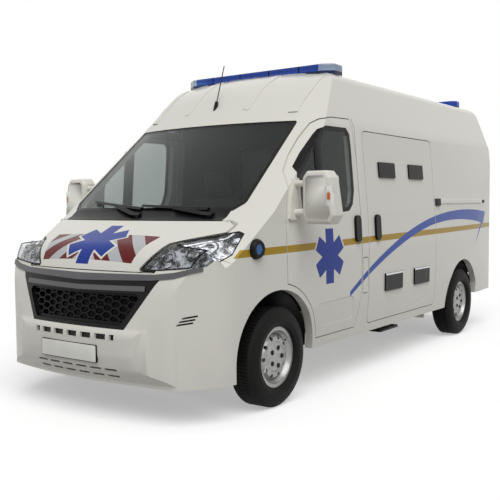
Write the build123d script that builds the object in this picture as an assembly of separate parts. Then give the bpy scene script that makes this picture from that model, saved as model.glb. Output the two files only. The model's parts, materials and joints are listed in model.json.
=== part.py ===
from build123d import *
from functools import lru_cache
import math
import os

# High-roof panel-van ambulance. Millimetres, +X forward, +Y left, +Z up.
# The origin is on the ground, midway between the nose and the hinges at the tail.

# Overall sizes
LENGTH = 5413.0
WIDTH = 2050.0
ROOF_HEIGHT = 2465.0
WHEELBASE = 3450.0
FRONT_OVERHANG = 948.0
TRACK_FRONT = 1810.0
TRACK_REAR = 1790.0
BOW = 2850.0
HULL_BASE = 60.0
TAIL_LEAN = 70.0
HALF_WIDTH = WIDTH / 2
REAR_END = LENGTH - FRONT_OVERHANG
REACH = HALF_WIDTH + 375.0

# Walls and clearances
WALL = 60.0
BONNET_WALL = 32.0
SEAT_GAP = 0.3
SHUT_GAP = 7.0
BONNET_GAP = 12.0
HINGE_GAP = 11.0
GLASS_SINK = 4.0
GLASS_THICK = 6.0
RAISED = 7.0
PAD_DEPTH = 14.0
HANDLE_DEPTH = 22.0

# Levels
BUMPER_BOTTOM = 262.0
SILL_BOTTOM = 328.0
DOOR_BOTTOM = 402.0
FLOOR_TOP = 540.0
FLOOR_THICK = 40.0
BONNET_FRONT_Z = 955.0
JACK_PAD_Z = 372.0
BELT_Z = 1250.0
DOOR_TOP = 2040.0
ROOF_SPLIT = DOOR_TOP + 15.0
REAR_BUMPER_TOP = 872.0
REAR_STEP_Z = 545.0

# Wheels
TYRE_RADIUS = 341.0
TYRE_WIDTH = 215.0
RIM_RADIUS = 203.0
RIM_WIDTH = 152.0
DISC_OFFSET = 40.0
SPINDLE_RADIUS = 32.0
SPINDLE_CLEARANCE = 0.3
BOLT_COUNT = 5
BOLT_CIRCLE = 118.0
DISC_HOLES = 10
ARCH_RADIUS = 455.0
ARCH_LIP = 46.0
REAR_ARCH_RADIUS = 440.0
ARCH_Z = 345.0
ARCH_INSIDE = 560.0
REAR_ARCH_INSIDE = 680.0
HOUSING_WALL = 8.0
KINGPIN_Y = 785.0
KINGPIN_RADIUS = 16.0

# Hinges
DOOR_BARREL_RADIUS = 4.0
REAR_BARREL_RADIUS = 10.0
REAR_BARREL_GAP = 4.0
FLAP_BARREL_RADIUS = 3.0
BONNET_PIN_RADIUS = 4.0
TAIL_HINGE_REACH = REAR_BARREL_GAP + 2 * REAR_BARREL_RADIUS
FRONT_AXLE_X = (LENGTH + TAIL_HINGE_REACH) / 2 - FRONT_OVERHANG

os.makedirs("parts", exist_ok=True)


def fx(distance):
    """X of a point given by its distance ahead of the front axle."""
    return FRONT_AXLE_X + distance


def box(x0, x1, y0, y1, z0, z1):
    """Box between two corners, with X counted from the front axle."""
    centre = (fx((x0 + x1) / 2), (y0 + y1) / 2, (z0 + z1) / 2)
    return Pos(*centre) * Box(abs(x1 - x0), abs(y1 - y0), abs(z1 - z0))


def prism(plane, points, depth, radius=0.0, grow=0.0):
    """Polygon with rounded corners, grown on all sides and drawn out along the plane's normal."""
    with BuildSketch(plane) as sketch:
        Polygon(*points, align=None)
        if radius:
            fillet(sketch.vertices(), radius)
        if grow:
            offset(amount=grow)
    return extrude(sketch.sketch, depth, dir=plane.z_dir)


def side_prism(points, y0, y1, radius=0.0, grow=0.0):
    """Side-view outline (distance ahead of the axle, z), from y0 out to y1."""
    plane = Plane(origin=(FRONT_AXLE_X, y1, 0), x_dir=(1, 0, 0), z_dir=(0, -1, 0))
    return prism(plane, points, y1 - y0, radius, grow)


def front_prism(points, x0, x1, radius=0.0, grow=0.0):
    """Front-view outline (y, z), from x0 forward to x1, counted from the front axle."""
    plane = Plane(origin=(fx(x0), 0, 0), x_dir=(0, 1, 0), z_dir=(1, 0, 0))
    return prism(plane, points, x1 - x0, radius, grow)


def plan_prism(points, z0, z1, radius=0.0, grow=0.0):
    """Plan outline (distance ahead of the axle, y), from z0 up to z1."""
    plane = Plane(origin=(FRONT_AXLE_X, 0, z0))
    return prism(plane, points, z1 - z0, radius, grow)


def rod(start, end, radius):
    """Round bar between two points, with X counted from the front axle."""
    a = Vector(fx(start[0]), start[1], start[2])
    b = Vector(fx(end[0]), end[1], end[2])
    plane = Plane(origin=a, z_dir=b - a)
    return plane * Pos(0, 0, (b - a).length / 2) * Cylinder(radius, (b - a).length)


def rectangle(u, v, width, height):
    """Corners of a rectangle about a centre."""
    return [(u - width / 2, v - height / 2), (u + width / 2, v - height / 2),
            (u + width / 2, v + height / 2), (u - width / 2, v + height / 2)]


def strip(start, end, width):
    """Corners of a straight strip of one width between two points."""
    along = (Vector(*end) - Vector(*start)).normalized()
    across = Vector(-along.Y, along.X) * (width / 2)
    return [(start[0] + across.X, start[1] + across.Y), (start[0] - across.X, start[1] - across.Y),
            (end[0] - across.X, end[1] - across.Y), (end[0] + across.X, end[1] + across.Y)]


def with_mirror(points):
    """A whole outline from its half, given from one end of the middle line to the other."""
    return points + [(u, -v) for u, v in reversed(points)]


def flip(shape):
    """The same piece on the other side of the vehicle."""
    return mirror(shape, about=Plane.XZ)


def both(shape):
    """A left-hand piece and its right-hand twin."""
    return [shape, flip(shape)]


def joined(shapes):
    """Several cutting shapes as one."""
    return Compound(children=list(shapes))


def largest(shape):
    """The biggest solid of a shape."""
    return max(shape.solids(), key=lambda solid: solid.volume)


def save(name, *shapes):
    """Write a node's solids to its STEP file."""
    solids = []
    for shape in shapes:
        solids.extend(shape.solids())
    export_step(solids[0] if len(solids) == 1 else Compound(children=solids), f"parts/{name}.step")


# Outer form of the body


def drawn_in(points, inset):
    """Points of a closed outline, listed anticlockwise, with every side moved inward."""
    moved = []
    for i, (x, y) in enumerate(points):
        ax, ay = points[i - 1]
        bx, by = points[(i + 1) % len(points)]
        n1 = Vector(ay - y, x - ax).normalized()
        n2 = Vector(y - by, bx - x).normalized()
        shift = (n1 + n2) * (inset / (1 + n1.dot(n2)))
        moved.append((x + shift.X, y + shift.Y))
    return moved


def is_outward(points, i):
    """Whether a corner of an anticlockwise outline points outward."""
    x, y = points[i]
    ax, ay = points[i - 1]
    bx, by = points[(i + 1) % len(points)]
    return (x - ax) * (by - y) - (y - ay) * (bx - x) > 0


def form_face(corners, inset, axis_edge=False):
    """Face from corners (x, y, corner radius) listed anticlockwise, drawn in by an inset."""
    points = [(x, y) for x, y, r in corners]
    moved = drawn_in(points, inset)
    if axis_edge:
        moved = [(0.0, m[1]) if p[0] == 0 else m for p, m in zip(points, moved)]
    face = Face(Wire.make_polygon([Vector(x, y) for x, y in moved]))
    for i, (x, y, radius) in enumerate(corners):
        if radius:
            turned = radius - inset if is_outward(points, i) else radius + inset
            spot = Vector(*moved[i])
            nearest = min(face.vertices(), key=lambda v: (Vector(*v) - spot).length)
            face = face.fillet_2d(turned, [nearest])
    return face


def bowed_form(inset):
    """Nose, windscreen and roof line, turned about a far upright axis so that the front is bowed."""
    nose = BOW + FRONT_OVERHANG
    corners = [
        (0, HULL_BASE, 0),
        (nose - 90, HULL_BASE, 0),
        (nose - 72, BUMPER_BOTTOM, 0),
        (nose - 18, BUMPER_BOTTOM + 78, 110),
        (nose, BUMPER_BOTTOM + 168, 150),
        (nose, BUMPER_BOTTOM + 308, 95),
        (nose - 26, BUMPER_BOTTOM + 346, 60),
        (nose - 80, 880, 0),
        (nose - 176, 1100, 260),
        (nose - 603, 1298, 0),
        (nose - 1403, 1985, 0),
        (nose - 1888, ROOF_HEIGHT, 800),
        (0, ROOF_HEIGHT, 0),
    ]
    face = form_face(corners, inset, axis_edge=True)
    turned = Plane(origin=(fx(-BOW), 0, 0), x_dir=(1, 0, 0), z_dir=(0, -1, 0)) * face
    return revolve(turned, Axis((fx(-BOW), 0, 0), (0, 0, 1)))


def cross_form(inset):
    """Cross-section of the body with its leaning sides, waist crease and rounded shoulders."""
    half = [
        (HALF_WIDTH - 40, HULL_BASE, 0),
        (HALF_WIDTH - 40, SILL_BOTTOM, 0),
        (HALF_WIDTH - 9, 632, 0),
        (HALF_WIDTH - 5, 1010, 400),
        (HALF_WIDTH - 22, 1321, 160),
        (HALF_WIDTH - 80, 1972, 0),
        (HALF_WIDTH - 240, ROOF_HEIGHT - 45, 110),
        (300, ROOF_HEIGHT - 6, 4000),
    ]
    whole = half + [(-y, z, r) for y, z, r in reversed(half)]
    plane = Plane(origin=(-LENGTH, 0, 0), x_dir=(0, 1, 0), z_dir=(1, 0, 0))
    return extrude(plane * form_face(whole, inset), 2 * LENGTH, dir=(1, 0, 0))


def plan_form(inset):
    """Plan of the body, drawn in at the nose and rounded at the tail."""
    half = [
        (-REAR_END, 60 - HALF_WIDTH, 95),
        (-REAR_END + 560, 22 - HALF_WIDTH, 0),
        (-3300, -HALF_WIDTH, 0),
        (-350, -HALF_WIDTH, 0),
        (520, 50 - HALF_WIDTH, 300),
        (800, 235 - HALF_WIDTH, 330),
        (FRONT_OVERHANG + 52, 735 - HALF_WIDTH, 0),
    ]
    whole = half + [(x, -y, r) for x, y, r in reversed(half)]
    plane = Plane(origin=(FRONT_AXLE_X, 0, HULL_BASE - 10))
    return extrude(plane * form_face(whole, inset), ROOF_HEIGHT + 200, dir=(0, 0, 1))


def tail_form(inset):
    """Side view of the tail: upright back, leaning above the waist, rounded into the roof."""
    corners = [
        (2000, HULL_BASE - 5, 0),
        (2000, ROOF_HEIGHT + 5, 0),
        (-REAR_END + TAIL_LEAN + 180, ROOF_HEIGHT + 5, 300),
        (-REAR_END + TAIL_LEAN + 22, ROOF_HEIGHT - 95, 160),
        (-REAR_END + TAIL_LEAN, 2230, 0),
        (-REAR_END, 1300, 0),
        (-REAR_END, HULL_BASE - 5, 0),
    ]
    plane = Plane(origin=(FRONT_AXLE_X, LENGTH, 0), x_dir=(1, 0, 0), z_dir=(0, -1, 0))
    return extrude(plane * form_face(corners, inset), 2 * LENGTH, dir=(0, -1, 0))


def pillar_corner(inset):
    """Waste outside the slanting face that joins the windscreen to the left flank."""
    low = Vector(fx(215), 845, 1321)
    high = Vector(fx(-590), 800, 1985)
    edge = Vector(fx(-640), 890, 1955)
    normal = (edge - low).cross(high - low).normalized()
    plane = Plane(origin=high - normal * inset, z_dir=normal)
    return plane * Pos(0, 0, 500) * Box(3000, 3000, 1000)


@lru_cache
def hull(inset):
    """The body's outer form, or the same form drawn in by an inset."""
    form = bowed_form(inset) & cross_form(inset) & plan_form(inset) & tail_form(inset)
    corner = pillar_corner(inset)
    return form - corner - flip(corner)


@lru_cache
def layer(top, base):
    """Even layer of the body's form between two insets."""
    return hull(top) - hull(base)


# Panel outlines: side views (distance ahead of the axle, z), front views (y, z), plans (distance, y)

DOOR_INSIDE = 840.0
DOOR_FRONT = -90.0
DOOR_REAR = -1170.0
DOOR_REAR_GAP = 12.0
DOOR_OUTLINE = [
    (DOOR_FRONT, BELT_Z + 10), (-130, 1455), (-212, 1606), (-330, 1722), (-488, 1857), (-640, 1972),
    (-720, DOOR_TOP - 30), (-840, DOOR_TOP - 8), (DOOR_REAR + 40, DOOR_TOP), (DOOR_REAR, 1700), (DOOR_REAR, 700),
    (DOOR_REAR + 35, 540), (DOOR_REAR + 80, DOOR_BOTTOM), (DOOR_FRONT - 60, DOOR_BOTTOM), (DOOR_FRONT - 15, 820),
    (DOOR_FRONT, 1180),
]
DOOR_WINDOW = [
    (-262, 1320), (-255, 1500), (-279, 1640), (-400, 1745), (-579, 1886), (-640, 1930), (-727, 1962),
    (-1040, 1966), (-1092, 1915), (-1100, 1803), (-1098, 1480), (-1060, 1370), (-1000, 1322), (-813, 1306),
]
DOOR_WINDOW_RADIUS = 26.0
DOOR_PRESSING = [(-555, 478), (-470, 648), (-1040, 660), (-1040, 478)]
SLIDE_FRONT = -1305.0
SLIDE_REAR = -2700.0
SLIDE_TOP = 1958.0
SLIDE_RADIUS = 45.0
SLIDE_OUTLINE = [
    (SLIDE_FRONT, DOOR_BOTTOM), (SLIDE_FRONT, SLIDE_TOP), (SLIDE_REAR, SLIDE_TOP), (SLIDE_REAR, DOOR_BOTTOM),
]
FLAP_FRONT = -1195.0
FLAP_OUTLINE = [(FLAP_FRONT, 660), (FLAP_FRONT, 940), (FLAP_FRONT - 90, 940), (FLAP_FRONT - 90, 660)]
FLAP_RADIUS = 12.0
SCREEN_BOTTOM = 1336.0
SCREEN_RADIUS = 28.0
SCREEN_OUTLINE = [
    (-770, SCREEN_BOTTOM), (770, SCREEN_BOTTOM), (828, SCREEN_BOTTOM + 55), (782, 2000), (-782, 2000),
    (-828, SCREEN_BOTTOM + 55),
]
COWL_HALF = 760.0
COWL_DEPTH = 18.0
WIPER_GAP = 35.0
GRILLE_OUTLINE = [(-405, 628), (405, 628), (540, 826), (-540, 826)]
GRILLE_RADIUS = 30.0
GRILLE_FRAME = 16.0
CELL_WIDTH = 88.0
CELL_HEIGHT = 46.0
CELL_WALL = 9.0
LAMP_OUTLINE = [
    (473, 968), (546, 1060), (600, 1130), (900, 1208), (934, 1192), (948, 1060), (893, 998), (640, 972),
]
LAMP_RADIUS = 8.0
LAMP_GAP = SHUT_GAP + 2
BUMPER_OUTLINE = [
    (1200, BUMPER_BOTTOM - 20), (1200, BONNET_FRONT_Z), (860, BONNET_FRONT_Z), (640, 1003), (600, 862),
    (330, 742), (330, BUMPER_BOTTOM - 20),
]
BONNET_HALF = [(1000, 470), (852, 502), (762, 605), (655, 768), (310, 855), (150, 870)]
COWL_EDGE = BOW + 398.0
REAR_DOOR_Y = 838.0
REAR_DOOR_HALF = [
    (0, 556), (REAR_DOOR_Y, 556), (REAR_DOOR_Y, 1330), (REAR_DOOR_Y - 48, 1960), (REAR_DOOR_Y - 148, 2290), (0, 2290),
]
REAR_WINDOW = [(130, 1330), (700, 1330), (660, 1850), (130, 1850)]
REAR_WINDOW_RADIUS = 40.0
TAIL_LAMP = [(REAR_DOOR_Y + 28, 885), (955, 885), (955, 1345), (REAR_DOOR_Y + 28, 1345)]
TAIL_BACK = -REAR_END - 100
TAIL_INSIDE = -REAR_END + 265
REAR_BUMPER_FRONT = -3860.0
REAR_BUMPER_BOTTOM = 395.0
CAB_BACK = -1240.0
FENDER_BACK = -575.0

cabin = hull(WALL + SEAT_GAP)
room = hull(WALL + HOUSING_WALL)
glass_layer = layer(GLASS_SINK, GLASS_SINK + GLASS_THICK)
proud = hull(-SEAT_GAP)
shell = layer(0, WALL)


def wheel_bay(axle, radius, y0):
    """Round space over a wheel, on both sides of the vehicle, down to the ground."""
    drum = Pos(fx(axle), (y0 + REACH) / 2, ARCH_Z) * Rot(90, 0, 0) * Cylinder(radius, REACH - y0)
    well = box(axle - radius, axle + radius, y0, REACH, 0, ARCH_Z)
    return joined(both(drum + well))


def on_skin(outline, depth, radius):
    """Pad of one depth that follows the left flank."""
    return side_prism(outline, HALF_WIDTH / 2, REACH, radius) & layer(-depth, -SEAT_GAP)


def on_nose(outline, depth, radius=0.0):
    """Pad of one depth that follows the nose or the windscreen."""
    return front_prism(outline, 100, 1200, radius) & layer(-depth, -SEAT_GAP)


def raised(zone, depth):
    """Pressing that stands proud of a panel, deep enough to join it."""
    return zone & layer(-depth, BONNET_WALL)


arches = wheel_bay(0, ARCH_RADIUS, ARCH_INSIDE)
rear_arches = wheel_bay(-WHEELBASE, REAR_ARCH_RADIUS, REAR_ARCH_INSIDE)
lip = wheel_bay(0, ARCH_RADIUS + ARCH_LIP, ARCH_INSIDE)
lip_edge = wheel_bay(0, ARCH_RADIUS + ARCH_LIP - SHUT_GAP, ARCH_INSIDE)
door_zone = side_prism(DOOR_OUTLINE, DOOR_INSIDE, REACH) - lip
door_hole = side_prism(DOOR_OUTLINE, DOOR_INSIDE - SHUT_GAP, REACH, grow=SHUT_GAP)
door_hole = door_hole + box(DOOR_FRONT - 5, DOOR_FRONT + HINGE_GAP, DOOR_INSIDE - SHUT_GAP, REACH,
                            1180, BELT_Z + 10 + SHUT_GAP)
door_hole = door_hole + box(DOOR_REAR - DOOR_REAR_GAP, DOOR_REAR, DOOR_INSIDE - SHUT_GAP, REACH,
                            700, DOOR_TOP + SHUT_GAP)
door_hole = door_hole - lip_edge
slide_zone = side_prism(SLIDE_OUTLINE, HALF_WIDTH / 2, REACH, SLIDE_RADIUS)
slide_hole = side_prism(SLIDE_OUTLINE, HALF_WIDTH / 2, REACH, SLIDE_RADIUS, grow=SHUT_GAP)
bumper_zone = side_prism(BUMPER_OUTLINE, -REACH, REACH)
lamp_zone = front_prism(LAMP_OUTLINE, 200, 1000, LAMP_RADIUS)
lamp_hole = joined(both(front_prism(LAMP_OUTLINE, 200, 1000, LAMP_RADIUS, grow=SEAT_GAP)))
lamp_clear = joined(both(front_prism(LAMP_OUTLINE, 200, 1000, LAMP_RADIUS, grow=LAMP_GAP)))
bonnet_plan = with_mirror(BONNET_HALF)
cowl_front = Pos(fx(-BOW), 0, BELT_Z) * Cylinder(COWL_EDGE + HINGE_GAP / 2, BELT_Z)
cowl_back = Pos(fx(-BOW), 0, BELT_Z) * Cylinder(COWL_EDGE - HINGE_GAP / 2, BELT_Z)
bonnet_zone = plan_prism(bonnet_plan, BONNET_FRONT_Z + SHUT_GAP, 1500) - cowl_front - lamp_clear
bonnet_hole = plan_prism(bonnet_plan, BONNET_FRONT_Z, 1500, grow=BONNET_GAP) - cowl_back
screen_zone = front_prism(SCREEN_OUTLINE, -900, 600, SCREEN_RADIUS)
screen_hole = front_prism(SCREEN_OUTLINE, -900, 600, SCREEN_RADIUS, grow=SEAT_GAP)
cowl_zone = box(0, 600, -COWL_HALF, COWL_HALF, BELT_Z - WALL, SCREEN_BOTTOM - 2 * SEAT_GAP)
cowl_hole = box(0, 600, -COWL_HALF - SEAT_GAP, COWL_HALF + SEAT_GAP, BELT_Z - WALL, SCREEN_BOTTOM)
centre_gap = box(TAIL_BACK - 50, TAIL_INSIDE + 50, -HINGE_GAP, HINGE_GAP / 2, 500, ROOF_HEIGHT)
rear_door_zone = front_prism(REAR_DOOR_HALF, TAIL_BACK, TAIL_INSIDE) - centre_gap
rear_opening = REAR_DOOR_HALF[1:5] + [(-y, z) for y, z in reversed(REAR_DOOR_HALF[1:5])]
rear_hole = front_prism(rear_opening, TAIL_BACK, TAIL_INSIDE, grow=HINGE_GAP)
tail_hole = joined(both(front_prism(TAIL_LAMP, TAIL_BACK, TAIL_INSIDE - 100, grow=SEAT_GAP)))
rear_corner = box(TAIL_BACK, REAR_BUMPER_FRONT, -REACH, REACH, 0, REAR_BUMPER_TOP)
grille_hole = front_prism(GRILLE_OUTLINE, 400, 1200, GRILLE_RADIUS, grow=SEAT_GAP)

# Hinge axes

DOOR_AXIS_X = DOOR_FRONT + HINGE_GAP / 2
DOOR_AXIS_Y = 1006.5
DOOR_HINGES = (1195.0, 1230.0)
REAR_AXIS_X = -REAR_END - REAR_BARREL_RADIUS - REAR_BARREL_GAP
REAR_AXIS_Y = REAR_DOOR_Y + HINGE_GAP / 2
REAR_HINGES = (760.0, 1450.0)
BONNET_AXIS_Y = 820.0
BONNET_AXIS_X = math.sqrt(COWL_EDGE ** 2 - BONNET_AXIS_Y ** 2) - BOW
BONNET_AXIS_Z = 1272.0
FLAP_AXIS_X = FLAP_FRONT + 1.5
FLAP_AXIS_Y = 1018.0
FLAP_HINGES = (720.0, 880.0)


def upright_barrels(x, y, z, length, radius):
    """Middle barrel of a hinge on an upright axis, and the two that hold it from above and below."""
    middle = rod((x, y, z - length / 2), (x, y, z + length / 2), radius)
    top = rod((x, y, z + length / 2 + SEAT_GAP), (x, y, z + 1.5 * length), radius)
    bottom = rod((x, y, z - 1.5 * length), (x, y, z - length / 2 - SEAT_GAP), radius)
    return middle, top, bottom


def door_hinges():
    """Leaves and barrels of the left front door's hinges, on the door and on the wing."""
    moving, fixed = [], []
    inside, outside = DOOR_AXIS_Y - 12, DOOR_AXIS_Y - 2
    for z in DOOR_HINGES:
        middle, top, bottom = upright_barrels(DOOR_AXIS_X, DOOR_AXIS_Y, z, 10, DOOR_BARREL_RADIUS)
        moving.append(middle + box(DOOR_AXIS_X, DOOR_FRONT - 12, inside, outside, z - 4.5, z + 4.5))
        for held, low in ((top, z + 5.5), (bottom, z - 14.5)):
            fixed.append(held + box(DOOR_AXIS_X, DOOR_FRONT + HINGE_GAP + 12, inside, outside, low, low + 9))
    return moving, fixed


def rear_hinges(z):
    """Leaf and straps of one hinge of the left rear door."""
    middle, top, bottom = upright_barrels(REAR_AXIS_X, REAR_AXIS_Y, z, 50, REAR_BARREL_RADIUS)
    back, deep = REAR_AXIS_X - 4, REAR_AXIS_X + 56
    leaf = box(back, deep, REAR_AXIS_Y - 60, REAR_AXIS_Y, z - 24, z + 24)
    leaf = leaf - box(-REAR_END, 0, REAR_DOOR_Y - 38, REACH, 0, ROOF_HEIGHT)
    straps = []
    for held, low in ((top, z + 26), (bottom, z - 74)):
        strap = box(back, deep, REAR_AXIS_Y, REAR_AXIS_Y + 28, low, low + 48)
        straps.append(held + (strap - box(-REAR_END, 0, 0, REAR_AXIS_Y + 6, 0, ROOF_HEIGHT)))
    return middle + leaf, straps


# Front of the body


def fenders():
    """Left front wing between bumper, bonnet, lamp and door, with its halves of the door hinges."""
    zone = box(FENDER_BACK, 660, HALF_WIDTH / 2 + 90, REACH, SILL_BOTTOM, BELT_Z)
    wing = (shell & zone) - door_hole - bumper_zone - lamp_hole - bonnet_hole - arches
    for piece in door_hinges()[1]:
        wing = wing + piece
    return wing


def bumper_slots():
    """Outlines of the air slots in the front bumper: middle row, two lower rows and side slots."""
    outlines = [rectangle(y, 550, 95, 39) for y in (-256, -128, 0, 128, 256)]
    outlines += [rectangle(y, 550, 42, 39) for y in (-352, 352)]
    outlines += [rectangle(y, z, 102, 13) for y in (-325, -195, -65, 65, 195, 325) for z in (296, 341)]
    for y, z, length in ((832, 693, 62), (821, 672, 66), (811, 652, 70)):
        for side in (-1, 1):
            outlines.append(strip((side * (y - length / 2), z - 6), (side * (y + length / 2), z + 6), 11))
    return outlines


def front_bumper():
    """Bumper with the grille's opening and its air slots."""
    panel = (shell & bumper_zone) - lamp_hole - bonnet_hole - arches - grille_hole
    slots = joined(front_prism(outline, 500, 1200, 5) for outline in bumper_slots())
    return panel - (slots - hull(COWL_DEPTH))


def honeycomb():
    """Wide six-sided cells in staggered columns, kept inside the grille's frame."""
    columns = int(1200 / CELL_WIDTH)
    rows = int(300 / CELL_HEIGHT)
    half, low, high = CELL_WIDTH / 2, GRILLE_OUTLINE[0][1], GRILLE_OUTLINE[2][1]
    plane = Plane(origin=(fx(500), 0, 0), x_dir=(0, 1, 0), z_dir=(1, 0, 0))
    with BuildSketch(plane) as cells:
        for i in range(-columns, columns + 1):
            for j in range(-rows, rows + 1):
                y = i * 0.75 * CELL_WIDTH
                z = (low + high) / 2 + (j + 0.5 * (i % 2)) * CELL_HEIGHT
                flat, tip = (CELL_HEIGHT - CELL_WALL) / 2, half - 0.6 * CELL_WALL
                Polygon((y - tip, z), (y - tip / 2, z - flat), (y + tip / 2, z - flat),
                        (y + tip, z), (y + tip / 2, z + flat), (y - tip / 2, z + flat), align=None)
        with BuildSketch(plane, mode=Mode.INTERSECT):
            Polygon(*GRILLE_OUTLINE, align=None)
            offset(amount=-GRILLE_FRAME)
    return extrude(cells.sketch, 700, dir=(1, 0, 0))


def grille_panel():
    """Sunk honeycomb panel in the bumper's opening."""
    panel = layer(COWL_DEPTH, 38) & front_prism(GRILLE_OUTLINE, 400, 1200, GRILLE_RADIUS)
    return panel - honeycomb()


def chrome_bar(stations):
    """Bright strip over the grille from stations (y, bottom, top), alike on both sides."""
    right = [(-y, low) for y, low, high in reversed(stations[1:])]
    bottom = right + [(y, low) for y, low, high in stations]
    top = [(y, high) for y, low, high in reversed(stations)] + [(-y, high) for y, low, high in stations[1:]]
    return on_nose(bottom + top, RAISED)


def lamp_bowl():
    """Bright reflector behind the left headlamp's lens, with the rims of its two lights."""
    bowl = largest(layer(34, 56) & lamp_zone)
    for y, z in ((640, 1035), (790, 1090)):
        ring = Pos(fx(600), y, z) * Rot(0, 90, 0) * (Cylinder(48, 800) - Cylinder(38, 900))
        bowl = bowl + (ring & layer(22, 35) & lamp_zone)
    return bowl


def bonnet_panel():
    """Bonnet with the pins of its two hinges at the rear corners."""
    panel = largest(layer(0, BONNET_WALL) & bonnet_zone)
    x, z = BONNET_AXIS_X, BONNET_AXIS_Z
    pin = rod((x, BONNET_AXIS_Y - 14, z), (x, BONNET_AXIS_Y, z), BONNET_PIN_RADIUS)
    arm = box(x, x + 26, BONNET_AXIS_Y - 13, BONNET_AXIS_Y - 1, z - 18, z - 2)
    for waste in both(box(x - 90, x + 11, BONNET_AXIS_Y, REACH, z - 72, z + 48)):
        panel = panel - waste
    for piece in both(pin + arm):
        panel = panel + piece
    return panel


def cab_frame():
    """Pillars, screen frame and scuttle, with the fixed pins of the bonnet's hinges."""
    zone = box(CAB_BACK, 1200, -REACH, REACH, BELT_Z, ROOF_SPLIT)
    frame = (shell & zone) - joined(both(door_hole)) - screen_hole - bonnet_hole - lamp_hole
    frame = frame - (cowl_hole - hull(COWL_DEPTH + SEAT_GAP))
    x, z = BONNET_AXIS_X, BONNET_AXIS_Z
    seat = box(x - 11, x + 14, BONNET_AXIS_Y - 22, BONNET_AXIS_Y + SEAT_GAP, z - 72, z + 48)
    pin = rod((x, BONNET_AXIS_Y + SEAT_GAP, z), (x, BONNET_AXIS_Y + 16, z), BONNET_PIN_RADIUS)
    arm = box(x - 28, x, BONNET_AXIS_Y + 2, BONNET_AXIS_Y + 14, z - 16, z - 2)
    for piece in both(seat):
        frame = frame - piece
    for piece in both(pin + arm):
        frame = frame + piece
    return frame


def cowl_panel():
    """Dark panel between the bonnet and the windscreen, let into the scuttle."""
    return (cowl_zone & layer(0, COWL_DEPTH)) - bonnet_hole


def wiper(pivot, hold, tip_in, tip_out):
    """Wiper of pivot, arm and blade, from points in the front view."""
    arm = front_prism(strip(pivot, hold, 20), 100, 600) & layer(-HANDLE_DEPTH, 4 - PAD_DEPTH)
    blade = front_prism(strip(tip_in, tip_out, 16), 100, 600) & layer(-PAD_DEPTH, GLASS_SINK - SEAT_GAP)
    cap = on_nose(rectangle(*pivot, 34, 30), HANDLE_DEPTH, 10)
    clear_of_bonnet = Pos(fx(-BOW), 0, BELT_Z) * Cylinder(COWL_EDGE - WIPER_GAP, BELT_Z)
    return (cap + arm + blade) & clear_of_bonnet


# Middle and rear of the body


def roof():
    """Roof panel with the pressed ribs of its front slope."""
    panel = (shell & box(TAIL_BACK, 1200, -REACH, REACH, ROOF_SPLIT, ROOF_HEIGHT + 100)) - rear_hole
    for y in (-705, -300, 300, 705):
        panel = panel + raised(plan_prism(strip((-600, y), (-1080, y), 70), ROOF_SPLIT + 20, ROOF_HEIGHT, 30), RAISED)
    return panel


def flank():
    """Left body side between cab door, sliding door, rear arch and rear door."""
    zone = box(TAIL_BACK, CAB_BACK, HALF_WIDTH / 2 + 90, REACH, SILL_BOTTOM, ROOF_SPLIT)
    zone = zone + box(CAB_BACK, FENDER_BACK, HALF_WIDTH / 2 + 90, REACH, SILL_BOTTOM, BELT_Z)
    side = (shell & zone) - door_hole - slide_hole - rear_arches - rear_hole - tail_hole - rear_corner
    for strap in rear_hinges(REAR_HINGES[1])[1]:
        side = side + strap
    return side


def fuel_side(side):
    """Left flank with the pocket of the fuel flap, and the flap with its hinge."""
    side = side - side_prism(FLAP_OUTLINE, HALF_WIDTH - 50, REACH, FLAP_RADIUS, grow=SHUT_GAP)
    flap = shell & side_prism(FLAP_OUTLINE, HALF_WIDTH - 40, REACH, FLAP_RADIUS)
    inside, outside = FLAP_AXIS_Y - 8, FLAP_AXIS_Y - 1
    for z in FLAP_HINGES:
        middle, top, bottom = upright_barrels(FLAP_AXIS_X, FLAP_AXIS_Y, z, 14, FLAP_BARREL_RADIUS)
        flap = flap - box(FLAP_FRONT - 9, FLAP_FRONT + 5, FLAP_AXIS_Y - 14, FLAP_AXIS_Y + 20, z - 28, z + 28)
        flap = flap + middle + box(FLAP_FRONT - 12, FLAP_AXIS_X, inside, outside, z - 6, z + 6)
        for held, low in ((top, z + 8), (bottom, z - 20)):
            side = side + held + box(FLAP_AXIS_X, FLAP_FRONT + 15, inside, outside, low, low + 12)
    return side, flap


def rear_bumper():
    """Rear corners and step under the rear doors, with the lower straps of their hinges."""
    zone = box(TAIL_BACK, REAR_BUMPER_FRONT, -REACH, REACH, REAR_BUMPER_BOTTOM, REAR_BUMPER_TOP)
    step = box(TAIL_BACK, REAR_BUMPER_FRONT, -REAR_DOOR_Y, REAR_DOOR_Y, REAR_STEP_Z, ROOF_HEIGHT)
    bumper = (shell & zone) - rear_hole - step
    for strap in rear_hinges(REAR_HINGES[0])[1]:
        for piece in both(strap):
            bumper = bumper + piece
    return bumper


def front_door():
    """Left cab door with its window opening, pressing and hinge leaves."""
    panel = (shell & door_zone) - side_prism(DOOR_WINDOW, DOOR_INSIDE - 100, REACH, DOOR_WINDOW_RADIUS, grow=SEAT_GAP)
    panel = panel - (side_prism(DOOR_PRESSING, DOOR_INSIDE, REACH, 40) - hull(GLASS_SINK))
    for piece in door_hinges()[0]:
        panel = panel + piece
    return panel


def sliding_door():
    """Left sliding door with the guide pins on its front and rear edges."""
    panel = shell & slide_zone
    for edge, outward in ((SLIDE_FRONT, 1), (SLIDE_REAR, -1)):
        for z in (700, 1600):
            reach = edge + outward * (SHUT_GAP - SEAT_GAP)
            panel = panel + rod((edge - outward * 20, HALF_WIDTH - 70, z), (reach, HALF_WIDTH - 70, z), 8)
    return panel


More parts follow.
